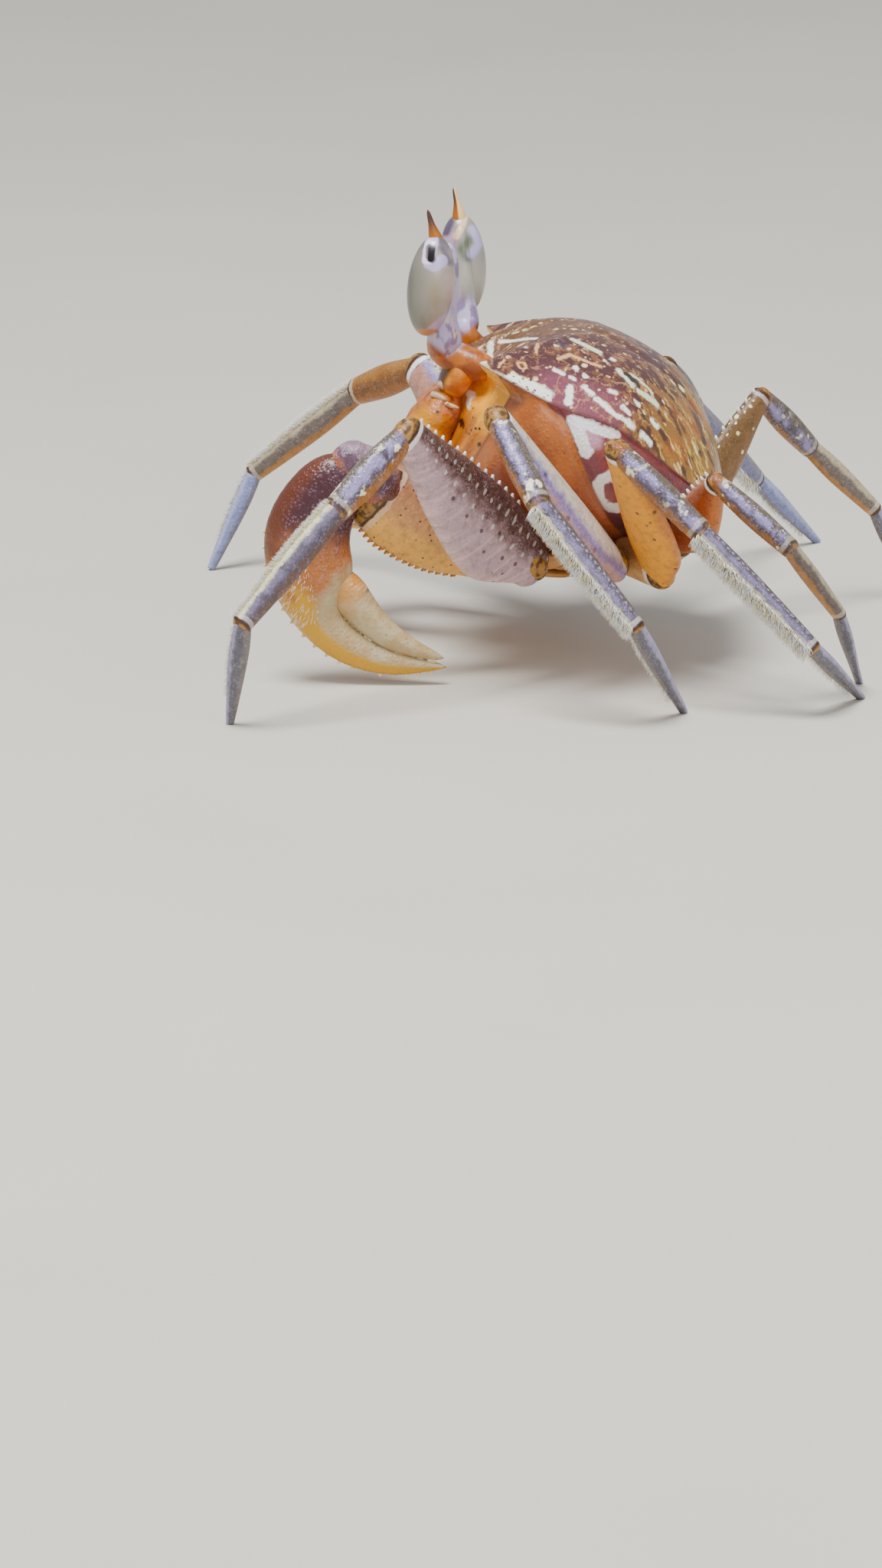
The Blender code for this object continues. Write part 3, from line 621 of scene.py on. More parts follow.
def dot_row(tree, reach, edge, entry, drop, spread):
    """A row of round dots along a limb, at a given height between its edges."""
    gap = tree.times(entry["Row Gap"], spread)
    step = tree.maths("FRACT", tree.maths("DIVIDE", reach[0], gap))
    along = tree.maths("DIVIDE", tree.times(tree.minus(step, 0.5), gap), 0.19)
    across = tree.maths("DIVIDE", tree.minus(edge, tree.minus(entry["Row At"], drop)), 0.07)
    dots = tree.band(tree.vector("LENGTH", tree.join(along, across, 0.0)), 1.15, 0.75)
    return tree.times(dots, tree.band(reach[1], 0.9, 1.4))


def limb_bands(tree, entry, spot, reach, wander, place):
    """The limb's ground: upper, middle and lower colour, streaks and the violet sheen of its middle."""
    edge = tree.along(wander, 0.8, spot[1])
    low = tree.plus(entry["Lower At"], entry["Blur"])
    high = tree.minus(entry["Lower At"], entry["Blur"])
    colour = tree.mix(tree.band(edge, low, high), entry["Middle"], entry["Lower"])
    low = tree.minus(entry["Upper At"], entry["Blur"])
    high = tree.plus(entry["Upper At"], entry["Blur"])
    colour = tree.paint(colour, tree.band(edge, low, high), entry["Upper"])
    colour = tree.shade(tree.patches(place, 1.3, 5.0, 0.45, 0.7), colour, 0.74)
    drawn = tree.join(tree.along(spot[1], 1.8, tree.times(reach[0], 1.5)), tree.times(spot[1], 0.5), 0.0)
    streaks = tree.times(tree.patches(drawn, 1.0, 3.0, 0.5, 0.62), entry["Streak Share"])
    colour = tree.shade(streaks, colour, 1.4)
    sheen = tree.times(tree.patches(place, 0.7, 3.0, 0.34, 0.56), entry["Sheen Share"])
    sheen = tree.times(sheen, tree.band(tree.gap(edge, 0.1), 0.6, 0.15))
    return tree.paint(colour, sheen, entry["Sheen"])


def limb_end(tree, colour, entry, reach, wander, place):
    """A pale rim at the end of a limb piece, and the dark joint skin past it."""
    ragged = tree.along(wander, 0.5, reach[1])
    rim = tree.times(tree.band(ragged, 0.66, 0.52), tree.band(ragged, 0.02, 0.16))
    colour = tree.paint(colour, rim, entry["Rim"], entry["Rim Share"])
    tissue_share = tree.maths("MINIMUM", tree.times(entry["Rim Share"], 2.5), 1.0)
    tissue = tree.mix(tree.patches(place, 1.6, 3.0, 0.42, 0.6), rgb(176, 132, 78), rgb(112, 80, 54))
    knee = tree.mix(tree.band(ragged, -0.2, -0.5), rgb(92, 64, 48), tissue)
    return tree.paint(colour, tree.band(ragged, 0.1, -0.06), knee, tissue_share)


def limb_group():
    """Colours of a limb piece: bands from upper to lower edge, specks, blotches, dots and end rims."""
    group, tree, entry, leave = new_group(
        "limb colours",
        {
            "Place": NOWHERE, "Spot": NOWHERE, "Reach": NOWHERE,
            "Upper": WHITE, "Middle": WHITE, "Lower": WHITE, "Upper At": 0.4, "Lower At": -0.4, "Blur": 0.2,
            "Speck": WHITE, "Speck Share": 0.0, "Speck Scale": 4.2,
            "Blotch": rgb(238, 228, 200), "Blotch Share": 0.0,
            "Dot": rgb(70, 36, 28), "Dot Share": 0.0, "Dot Scale": 0.9,
            "Base": rgb(176, 108, 56), "Base Share": 0.0,
            "Rim": WHITE, "Rim Share": 0.0,
            "Sheen": rgb(178, 168, 208), "Sheen Share": 0.0, "Streak Share": 0.0,
            "Row": rgb(244, 240, 232), "Row At": 0.8, "Row Gap": 1.2, "Row Share": 0.0, "Second Row": 0.0,
        },
        {"Colour": "Color"},
    )
    place = entry["Place"]
    spot = tree.split(entry["Spot"])
    reach = tree.split(entry["Reach"])
    wander = tree.minus(tree.cloud(place, 0.9, 4.0), 0.5)
    colour = limb_bands(tree, entry, spot, reach, wander, place)
    specks = tree.specks(place, entry["Speck Scale"], 0.6, 0.15)
    specks = tree.times(specks, tree.patches(place, 1.1, 3.0, 0.36, 0.62))
    colour = tree.paint(colour, specks, entry["Speck"], entry["Speck Share"])
    near_end = tree.band(tree.maths("MINIMUM", reach[0], reach[1]), 5.0, 2.0)
    blotches = tree.times(tree.patches(place, 0.75, 2.0, 0.6, 0.66), near_end)
    colour = tree.paint(colour, blotches, entry["Blotch"], entry["Blotch Share"])
    dots = tree.specks(place, entry["Dot Scale"], 0.16, 0.11)
    colour = tree.paint(colour, dots, entry["Dot"], entry["Dot Share"])
    straight = tree.along(wander, 0.25, spot[1])
    row = tree.times(dot_row(tree, reach, straight, entry, 0.0, 1.0), entry["Row Share"])
    second = tree.times(dot_row(tree, reach, straight, entry, 0.4, 1.35), entry["Second Row"])
    colour = tree.paint(colour, tree.most(row, second), entry["Row"])
    colour = tree.paint(colour, tree.band(reach[0], 1.3, 0.1), entry["Base"], entry["Base Share"])
    tree.feed(leave["Colour"], limb_end(tree, colour, entry, reach, wander, place))
    return group


STROKE = stroke_group()
GRAIN = grain_group()
LIMB = limb_group()


# Painted marks as (places, half width). Places are (side, back, up) in mm; marks that don't lean on one of
# the three have 0 there.
DOME_STREAKS = (
    (((9.0, -5.9, 0), (9.7, -3.1, 0)), 0.38),
    (((11.5, -0.7, 0), (12.6, 1.2, 0)), 0.3),
    (((12.6, 2.0, 0), (11.9, 4.3, 0)), 0.33),
    (((11.1, 0.6, 0), (11.2, 3.4, 0)), 0.17),
)
DOME_DASHES = (
    (((14.8, -6.3, 0), (14.8, -5.4, 0)), 0.26),
    (((14.9, -4.5, 0), (15.0, -4.1, 0)), 0.24),
    (((15.4, -2.9, 0), (16.0, -2.0, 0)), 0.26),
    (((16.3, -1.4, 0), (16.8, 0.8, 0), (16.3, 3.1, 0)), 0.26),
    (((15.9, 4.3, 0), (15.6, 5.4, 0)), 0.28),
    (((16.0, -4.2, 0), (17.6, -3.7, 0)), 0.34),
    (((13.5, -4.5, 0), (13.6, -4.4, 0)), 0.28),
    (((14.0, -3.4, 0), (14.1, -3.3, 0)), 0.26),
    (((10.0, -1.7, 0), (10.1, -1.5, 0)), 0.28),
    (((14.8, -0.5, 0), (14.7, 0.0, 0)), 0.27),
    (((15.6, 1.4, 0), (15.6, 2.1, 0)), 0.26),
    (((14.0, 2.3, 0), (14.0, 2.7, 0)), 0.24),
    (((13.9, 4.6, 0), (13.8, 5.3, 0)), 0.28),
)
RIM_LINE = ((18.0, -9.8, 0.5), (17.7, -11.8, 0.2), (17.0, -12.9, 0.7))
FRONT_LOOP = (
    (((17.0, -12.9, 0.7), (10.0, -11.4, 0.3), (3.0, -12.2, 0.1), (1.8, -12.7, 1.1)), 0.34),
    (((1.9, -11.8, 1.7), (3.6, -10.6, 2.8), (6.1, -9.1, 4.2)), 0.24),
)
FRONT_FLECKS = (
    (((1.3, -12.2, 2.0), (1.5, -11.6, 2.5)), 0.15),
    (((1.7, -11.1, 3.1), (1.8, -10.8, 3.4)), 0.16),
    (((1.9, -10.3, 3.9), (2.1, -10.0, 4.0)), 0.26),
)
SPECKLED_PATCH = ((17.8, -9.5, 0), (17.8, -7.6, 0), (17.9, -6.0, 0))
RING = ((15.7, -9.4, 0), (15.8, -9.3, 0))
WALL_MARKS = (
    (((0, -2.5, 0.1), (0, -1.2, -0.8), (0, 0.3, -1.9)), 0.66),
    (((0, -2.5, 0.2), (0, -0.6, 0.5), (0, 1.9, 0.9)), 0.54),
    (((0, 5.0, -2.8), (0, 3.5, -2.9), (0, 2.8, -3.9), (0, 3.3, -5.1), (0, 4.6, -6.1), (0, 6.2, -5.4)), 0.52),
)
MADE = {}


def new_look(name):
    material = bpy.data.materials.new(name)
    material.use_nodes = True
    MADE[name] = material
    tree = Tree(material.node_tree)
    return tree, material.node_tree.nodes["Principled BSDF"].inputs, tree.place()


def settle(inputs, values):
    for key, value in values.items():
        inputs[key].default_value = value


def dome_ground(tree, place, wander, axes, side):
    """Maroon, mottled with orange-brown, more ochre to the rear, with worm-like lines and long spots."""
    back = axes[1]
    rearness = tree.band(back, -3.0, 12.0)
    shorter = tree.times(back, tree.minus(1.0, tree.times(rearness, 0.45)))
    stretch = tree.join(side, shorter, tree.times(axes[0], 0.13))
    stretch = tree.vector("ADD", stretch, tree.scaled(wander, 0.6))
    cover = tree.minus(0.55, tree.times(rearness, 0.1))
    mottle = tree.band(tree.minus(tree.cloud(stretch, 1.0, 5.0), cover), -0.05, 0.07)
    brown = tree.mix(rearness, rgb(142, 96, 72), rgb(168, 120, 54))
    dome = tree.mix(mottle, tree.mix(rearness, rgb(102, 66, 70), rgb(98, 70, 46)), brown)
    high = tree.times(tree.band(side, 9.0, 3.0), tree.band(back, 2.0, -6.0))
    dome = tree.paint(dome, high, rgb(134, 96, 56), 0.6)
    magenta = tree.times(tree.band(side, 13.2, 16.2), tree.band(back, 4.0, 0.0))
    magenta = tree.times(magenta, tree.band(back, -9.0, -6.0))
    dome = tree.paint(dome, magenta, rgb(150, 92, 112), 0.8)
    orange_rear = tree.times(tree.patches(place, 0.22, 2.0, 0.5, 0.62), rearness)
    dome = tree.paint(dome, orange_rear, rgb(206, 124, 50), 0.5)
    ripple = tree.gap(tree.cloud(stretch, 0.8, 3.0, 0.4), 0.5)
    worms = tree.times(tree.band(ripple, 0.045, 0.01), tree.patches(stretch, 1.1, 2.0, 0.46, 0.56))
    pale_line = tree.mix(rearness, rgb(208, 158, 124), rgb(222, 192, 104))
    dome = tree.paint(dome, worms, pale_line, tree.along(rearness, 0.35, 0.45))
    spots = tree.times(tree.specks(stretch, 0.72, 0.26, 0.14), tree.patches(stretch, 0.4, 2.0, 0.44, 0.53))
    dome = tree.paint(dome, spots, tree.mix(rearness, rgb(240, 214, 184), rgb(238, 222, 160)))
    small = tree.times(tree.specks(stretch, 1.5, 0.3, 0.15), tree.patches(stretch, 0.55, 2.0, 0.46, 0.58))
    return tree.paint(dome, small, rgb(232, 196, 158))


def dome_marks(tree, dome, place, flat, solid, side, near):
    """The painted marks, on both sides alike; the front line and loop only on the near side."""
    white, cream = rgb(244, 240, 230), rgb(226, 214, 184)
    dome = tree.paint(dome, tree.line(solid, RIM_LINE, 0.36), cream, near)
    dome = tree.paint(dome, tree.lines(solid, FRONT_LOOP, 0.15), white, near)
    dome = tree.paint(dome, tree.lines(solid, FRONT_FLECKS, 0.15), cream, near)
    thin = tree.line(flat, ((7.2, -9.7, 0), (13.3, -8.7, 0)), 0.17, 0.1)
    short = tree.line(flat, ((16.9, -11.4, 0), (15.9, -11.2, 0)), 0.14, 0.1)
    ring = tree.minus(tree.line(flat, RING, 0.5, 0.1), tree.line(flat, RING, 0.27, 0.1))
    bow = tree.line(flat, ((13.1, -6.4, 0), (11.9, -5.5, 0), (12.1, -2.5, 0)), 0.22, 0.12)
    dome = tree.paint(dome, tree.most(thin, short, ring, bow), rgb(222, 176, 136))
    dark = tree.line(flat, ((10.5, -6.9, 0), (10.8, -6.5, 0)), 0.5, 0.3)
    dome = tree.paint(dome, dark, rgb(84, 74, 96), 0.7)
    dome = tree.paint(dome, tree.lines(flat, DOME_STREAKS, 0.14), rgb(218, 226, 200))
    dome = tree.paint(dome, tree.line(flat, ((11.5, 0.2, 0), (11.8, 1.8, 0)), 0.3, 0.12), rgb(78, 70, 62))
    dome = tree.paint(dome, tree.lines(flat, DOME_DASHES, 0.14), white, tree.specks(place, 2.4, 0.1, 0.24))
    holes = tree.most(tree.specks(place, 1.9, 0.22, 0.38), tree.band(side, 18.0, 18.3))
    return tree.paint(dome, tree.line(flat, SPECKLED_PATCH, 0.8, 0.2), white, holes)


def wall_colours(tree, place, flank):
    """The side wall: magenta, with two big white marks."""
    wall = tree.mix(tree.patches(place, 0.4, 4.0, 0.4, 0.62), rgb(160, 88, 98), rgb(140, 76, 92))
    between = tree.line(flank, ((0, -1.6, -0.1), (0, 0.6, -0.6)), 0.7, 0.45)
    wall = tree.paint(wall, between, rgb(214, 178, 198), 0.75)
    wall = tree.paint(wall, tree.lines(flank, WALL_MARKS, 0.14), rgb(242, 238, 240))
    return tree.marks(wall, flank, (
        (((0, 6.3, -9.3), (0, 7.2, -8.4)), 0.35, 0.15, (222, 226, 240), None),
        (((0, 2.6, -6.4), (0, 7.4, -7.4)), 0.7, 0.5, (112, 78, 92), 0.7),
    ))


def face_colours(tree, place, up):
    face = tree.mix(tree.band(up, -6.5, -4.5), rgb(206, 128, 36), rgb(240, 172, 66))
    face = tree.paint(face, tree.patches(place, 0.5, 3.0, 0.45, 0.65), rgb(188, 104, 44), 0.45)
    return tree.paint(face, tree.specks(place, 0.7, 0.13, 0.08), rgb(80, 44, 30))


def cheek_colours(tree, place, flank, axes, side, seam, near):
    """The cheek: smooth orange-brown, brighter in front, where the face begins at the seam."""
    cheek = tree.mix(tree.patches(place, 0.25, 4.0, 0.4, 0.62), rgb(188, 112, 58), rgb(166, 94, 50))
    cheek = tree.paint(cheek, tree.specks(place, 0.8, 0.12, 0.07), rgb(120, 60, 36), 0.6)
    pink = tree.times(tree.band(axes[2], -4.0, -8.0), tree.band(axes[1], -9.0, -6.0))
    cheek = tree.paint(cheek, pink, rgb(192, 110, 94), 0.7)
    cheek = tree.paint(cheek, tree.band(seam, 0.4, 0.6), face_colours(tree, place, axes[2]))
    cheek = tree.paint(cheek, tree.band(tree.gap(seam, 0.5), 0.45, 0.1), rgb(132, 70, 36), 0.7)
    bar = tree.times(tree.line(flank, ((0, -12.2, -4.1), (0, -11.6, -5.2)), 0.26, 0.1), near)
    cheek = tree.paint(cheek, bar, rgb(240, 232, 222), tree.band(side, 8.0, 7.0))
    mole = (((0, -11.4, -6.9), (0, -11.3, -7.0)), 0.3, 0.16, (70, 42, 24), None)
    return tree.marks(cheek, flank, (mole,))


def shell_look():
    """The carapace: spotted dome, marked side walls and smooth cheeks."""
    tree, shader, place = new_look("shell")
    wall, cheek, seam = tree.split(tree.attribute("zone"))
    axes = tree.split(tree.attribute("spot"))
    side = tree.maths("ABSOLUTE", axes[0])
    near = tree.band(axes[0], -1.0, 0.5)
    wander = tree.scaled(tree.wander(place, 1.4, 3.0), 0.7)
    flat = tree.vector("ADD", tree.join(side, axes[1], 0.0), wander)
    flat = tree.vector("MULTIPLY", flat, (1.0, 1.0, 0.0))
    flank = tree.vector("ADD", tree.join(0.0, axes[1], axes[2]), wander)
    flank = tree.vector("MULTIPLY", flank, (0.0, 1.0, 1.0))
    solid = tree.vector("ADD", tree.join(side, axes[1], axes[2]), tree.scaled(wander, 0.5))
    dome = dome_marks(tree, dome_ground(tree, place, wander, axes, side), place, flat, solid, side, near)
    flank_colour = cheek_colours(tree, place, flank, axes, side, seam, near)
    flank_colour = tree.mix(tree.band(cheek, 0.4, 0.6), wall_colours(tree, place, flank), flank_colour)
    groove = tree.band(tree.gap(cheek, 0.5), 0.22, 0.04)
    flank_colour = tree.paint(flank_colour, groove, rgb(134, 74, 58), 0.55)
    colour = tree.mix(tree.band(wall, 0.35, 0.65), dome, flank_colour)
    colour = tree.paint(colour, tree.band(tree.gap(wall, 0.5), 0.3, 0.05), rgb(104, 58, 68), 0.6)
    colour = tree.shade(tree.grained(shader, place, 2.4, 0.34), colour, 1.1)
    tree.feed(shader["Base Color"], colour)
    settle(shader, {"Roughness": 0.32, "Coat Weight": 0.3, "Coat Roughness": 0.28})


def jaws_look():
    tree, shader, place = new_look("jaws")
    at = tree.attribute("spot")
    colour = tree.mix(tree.patches(place, 0.5, 4.0, 0.35, 0.65), rgb(206, 126, 30), rgb(180, 94, 40))
    brown = tree.band(tree.cloud(place, 0.75, 4.0, 0.6), 0.5, 0.64)
    colour = tree.paint(colour, brown, rgb(142, 78, 44), 0.8)
    middle = (((2.4, -1.0, 0.3), (2.4, 1.0, -0.8)), 1.8, 1.3, (216, 150, 0), None)
    colour = tree.marks(colour, at, (middle,))
    rosy = tree.times(tree.band(tree.split(at)[2], 1.2, 2.6), tree.patches(place, 0.9, 3.0, 0.42, 0.56))
    colour = tree.paint(colour, rosy, rgb(206, 134, 104))
    colour = tree.paint(colour, tree.specks(place, 0.55, 0.13, 0.08), rgb(84, 50, 30))
    colour = tree.marks(colour, at, (
        (((2.2, -0.6, 2.4), (2.4, 0.2, 2.2)), 0.16, 0.12, (236, 196, 180), None),
        (((2.4, 0.5, 2.0), (2.4, 0.9, 1.6)), 0.16, 0.12, (236, 196, 180), None),
    ))
    tree.finish(shader, place, colour, 2.2, 0.3, 0.34)


def face_plate_look():
    """Between the eyes and the jaws: orange, with painted shade across its front where the dark hollow would
    be.
    """
    tree, shader, place = new_look("face plate")
    spot = tree.split(tree.attribute("spot"))
    colour = tree.mix(tree.patches(place, 0.6, 4.0, 0.4, 0.62), rgb(228, 154, 60), rgb(198, 118, 52))
    # Painted shade: a dark band across the plate's front face stands in for the shadow in the crevice under
    # the eye's cup.
    painted_hollow_shade = tree.times(
        tree.band(spot[2], 0.6, 0.35), tree.band(spot[2], -0.8, -0.5), tree.band(spot[1], -0.25, -0.6),
    )
    colour = tree.paint(colour, painted_hollow_shade, rgb(84, 52, 38), 0.85)
    tree.finish(shader, place, colour, 2.6, 0.15, 0.4)


def underside_look():
    tree, shader, place = new_look("underside")
    colour = tree.mix(tree.patches(place, 0.3, 4.0, 0.35, 0.65), rgb(218, 180, 136), rgb(202, 148, 102))
    groove = tree.band(tree.split(tree.attribute("spot"))[2], 0.5, 1.0)
    tree.finish(shader, place, tree.paint(colour, groove, rgb(166, 106, 76)), 1.6, 0.15, 0.42)


# The near eye's marks, (right, up) in the view from the eye's middle: half width, blur, paint and strength.
NEAR_EYE_MARKS = (
    (((0.4, -0.2, 0), (0.3, -1.6, 0)), 0.5, 0.5, (166, 140, 98), 0.4),
    (((1.9, 0.6, 0), (1.8, -1.0, 0)), 0.5, 0.45, (206, 180, 182), 0.5),
    (((1.2, 3.6, 0), (2.0, 2.2, 0)), 0.3, 0.25, (112, 100, 132), 0.7),
    (((0.1, 4.5, 0), (-0.1, 2.2, 0), (0.5, 1.9, 0), (1.1, 2.4, 0)), 0.62, 0.14, (196, 188, 216), None),
    (((-0.15, 4.0, 0), (-0.25, 2.5, 0)), 0.5, 0.1, (230, 224, 240), None),
    (((0.04, 3.65, 0), (0.04, 2.7, 0)), 0.47, 0.1, (128, 116, 122), None),
)
FAR_EYE_MARKS = (
    (((-1.4, 2.8, 0), (-1.2, 1.4, 0)), 0.6, 0.4, (192, 166, 186), None),
    (((0.9, 2.6, 0), (-0.1, 1.4, 0), (0.5, 0.5, 0)), 0.4, 0.35, (128, 134, 116), None),
    (((1.0, 3.4, 0), (1.7, 2.0, 0), (0.9, 0.9, 0)), 0.42, 0.25, (196, 188, 220), None),
    (((-1.3, 4.2, 0), (-1.7, 3.2, 0)), 0.5, 0.25, (112, 100, 118), None),
    (((0.3, 5.2, 0), (-0.1, 3.6, 0), (-0.6, 2.7, 0)), 0.36, 0.14, (230, 200, 176), None),
)


def near_eye_look():
    """The left cornea. Its eye place is (right, up, towards) in the view, from the eye's middle."""
    tree, shader, place = new_look("cornea_left")
    whole = tree.attribute("eye")
    axes = tree.split(whole)
    spot = tree.vector("MULTIPLY", whole, (1.0, 1.0, 0.0))
    at = tree.vector("ADD", spot, tree.vector("MULTIPLY", tree.wander(place, 1.0, 2.0), (0.6, 0.6, 0.0)))
    colour = tree.mix(tree.band(axes[0], -2.2, 1.6), rgb(140, 138, 128), rgb(182, 172, 162))
    colour = tree.paint(colour, tree.band(axes[1], 2.6, 4.6), rgb(124, 118, 124))
    colour = tree.paint(colour, tree.band(axes[0], -1.5, -2.4), rgb(116, 114, 108))
    colour = tree.marks(colour, at, NEAR_EYE_MARKS)
    pupil = tree.line(spot, ((0.1, 3.6, 0), (0.04, 2.65, 0)), 0.33, 0.08)
    pupil = tree.times(pupil, tree.band(axes[2], -0.1, 0.4))
    colour = tree.paint(colour, pupil, rgb(34, 22, 26))
    slant = tree.minus(tree.times(axes[0], 0.63), tree.times(axes[1], 0.77))
    colour = tree.paint(colour, tree.band(slant, 2.9, 3.15), rgb(190, 176, 204))
    colour = tree.paint(colour, tree.band(axes[1], -4.1, -4.5), rgb(196, 146, 110))
    finish_eye(tree, shader, place, colour)
    tree.feed(shader["Coat Weight"], tree.times(tree.minus(1.0, pupil), 0.25))


def far_colours(tree):
    """Greys, greens and violets of the far eye, by place from the eye's middle in the view."""
    spot = tree.vector("MULTIPLY", tree.attribute("eye"), (1.0, 1.0, 0.0))
    colour = tree.mix(tree.band(tree.split(spot)[1], 2.5, -3.0), rgb(168, 162, 156), rgb(198, 196, 186))
    return tree.marks(colour, spot, FAR_EYE_MARKS)


def far_eye_look():
    tree, shader, place = new_look("cornea_right")
    finish_eye(tree, shader, place, far_colours(tree))


def finish_eye(tree, shader, place, colour):
    facets = {"Strength": 0.05, "Distance": 0.00002, "Height": tree.cells(place, 6.0)}
    tree.feed(shader["Normal"], tree.node("ShaderNodeBump", facets).outputs[0])
    tree.feed(shader["Base Color"], colour)
    settle(shader, {"Roughness": 0.3, "Coat Weight": 0.25, "Coat Roughness": 0.08})
    settle(shader, {"Subsurface Weight": 0.12, "Subsurface Radius": (0.0008, 0.0007, 0.0006)})


def stalk_look(name, far):
    """Violet white with purple veins over an orange base; behind the far eye it takes the eye's colours."""
    tree, shader, place = new_look(name)
    drawn = tree.vector("MULTIPLY", place, (1.0, 1.0, 0.45))
    veins = tree.band(tree.cloud(drawn, 0.8, 4.0, 0.5), 0.5, 0.62)
    colour = tree.paint(rgb(198, 190, 214), veins, rgb(140, 112, 156), 0.75)
    colour = tree.paint(colour, tree.patches(drawn, 0.7, 2.0, 0.62, 0.68), rgb(222, 202, 178))
    eye = tree.split(tree.attribute("eye"))
    cup = tree.along(tree.gap(eye[0], 0.2 if far else 1.7), 0.8, tree.times(eye[1], -1.0))
    cup_colour = tree.mix(tree.patches(place, 0.6, 3.0, 0.42, 0.6), rgb(198, 122, 62), rgb(164, 92, 56))
    colour = tree.paint(colour, tree.band(cup, 6.6, 7.5), cup_colour)
    if far:
        along = tree.split(tree.attribute("spot"))[0]
        colour = tree.paint(colour, tree.band(along, 0.5, 0.62), far_colours(tree))
    tree.finish(shader, place, colour, 1.8, 0.1, 0.32)


def horn_look(name, pale):
    """Brown-orange with a darker tip; on the far side one face is pale."""
    tree, shader, place = new_look(name)
    spot = tree.split(tree.attribute("spot"))
    colour = tree.mix(tree.band(spot[0], 0.25, 0.8), rgb(176, 106, 32), rgb(100, 66, 60))
    colour = tree.paint(colour, tree.band(spot[2], -0.15, 0.15), rgb(232, 196, 152), pale)
    tree.finish(shader, place, colour, 2.0, 0.1, 0.4)


def plain_look(name, first, second, scale=2.0, roughness=0.45, strength=0.15):
    """Two close colours in soft patches, for small parts and bristles."""
    tree, shader, place = new_look(name)
    colour = tree.mix(tree.patches(place, scale, 3.0, 0.4, 0.6), rgb(*first), rgb(*second))
    tree.finish(shader, place, colour, 3.0, strength, roughness)


def finger_colours(tree, place, scale, pale, warm, strength):
    """The pale end of a finger, with small brown dots."""
    colour = tree.mix(tree.patches(place, scale, 3.0, 0.4, 0.6), pale, warm)
    return tree.paint(colour, tree.specks(place, 1.1, 0.14, 0.08), rgb(128, 98, 78), strength)


def hand_look(name, near_wrist, near_fingers):
    """Palm and fixed finger: dark at the wrist, orange, then a pale finger with a yellow edge."""
    tree, shader, place = new_look(name)
    spot = tree.split(tree.attribute("spot"))
    along = tree.along(tree.minus(tree.cloud(place, 0.8, 4.0), 0.5), 0.14, spot[0])
    colour = tree.mix(tree.band(along, 0.22, 0.4), near_wrist, near_fingers)
    granules = tree.times(tree.specks(place, 3.4, 0.5, 0.25), tree.patches(place, 0.9, 3.0, 0.42, 0.6))
    colour = tree.paint(colour, granules, rgb(178, 152, 172), 0.4)
    rust = tree.times(tree.band(spot[1], 0.35, 0.8), tree.band(along, 0.45, 0.3))
    colour = tree.paint(colour, rust, rgb(124, 68, 44), 0.8)
    finger = finger_colours(tree, place, 0.5, rgb(192, 175, 148), rgb(188, 160, 126), 0.6)
    colour = tree.paint(colour, tree.band(tree.along(spot[1], -0.08, along), 0.44, 0.54), finger)
    beyond = tree.band(along, 0.42, 0.5)
    colour = tree.paint(colour, tree.band(spot[1], -0.15, 0.3), rgb(208, 156, 0), beyond)
    dark_edge = tree.times(tree.band(spot[1], 0.93, 0.99), beyond)
    colour = tree.paint(colour, dark_edge, rgb(176, 96, 20), 0.5)
    tree.finish(shader, place, colour, 2.6, 0.5, 0.34)


def finger_look():
    """The moving finger: pale, orange at its base."""
    tree, shader, place = new_look("finger")
    spot = tree.split(tree.attribute("spot"))
    along = tree.along(tree.minus(tree.cloud(place, 0.8, 4.0), 0.5), 0.1, spot[0])
    pale = finger_colours(tree, place, 0.7, rgb(196, 179, 152), rgb(190, 164, 130), 0.5)
    colour = tree.paint(pale, tree.band(along, 0.64, 0.5), rgb(206, 140, 66), 0.8)
    tree.finish(shader, place, colour, 2.6, 0.3, 0.38)


def limb_look(name, upper, middle, lower, bands, relief=0.3, roughness=0.42, **values):
    """One limb finish. Bands: where upper and lower colour end, and how softly. A fourth figure is a share."""
    tree, shader, place = new_look(name)
    inputs = {"Place": place, "Spot": tree.attribute("spot"), "Reach": tree.attribute("reach")}
    inputs.update({"Upper": rgb(*upper), "Middle": rgb(*middle), "Lower": rgb(*lower)})
    inputs.update(zip(("Upper At", "Lower At", "Blur"), bands))
    for key, value in values.items():
        label = key.replace("_", " ").title()
        if isinstance(value, tuple):
            inputs[label + " Share"] = value[3]
            value = rgb(*value[:3])
        inputs[label] = value
    colour = tree.filled(LIMB, inputs)["Colour"]
    granule = tree.grained(shader, place, 2.4, relief)
    tree.feed(shader["Base Color"], tree.shade(granule, colour, 1.12))
    settle(shader, {"Roughness": roughness, "Specular IOR Level": 0.45})


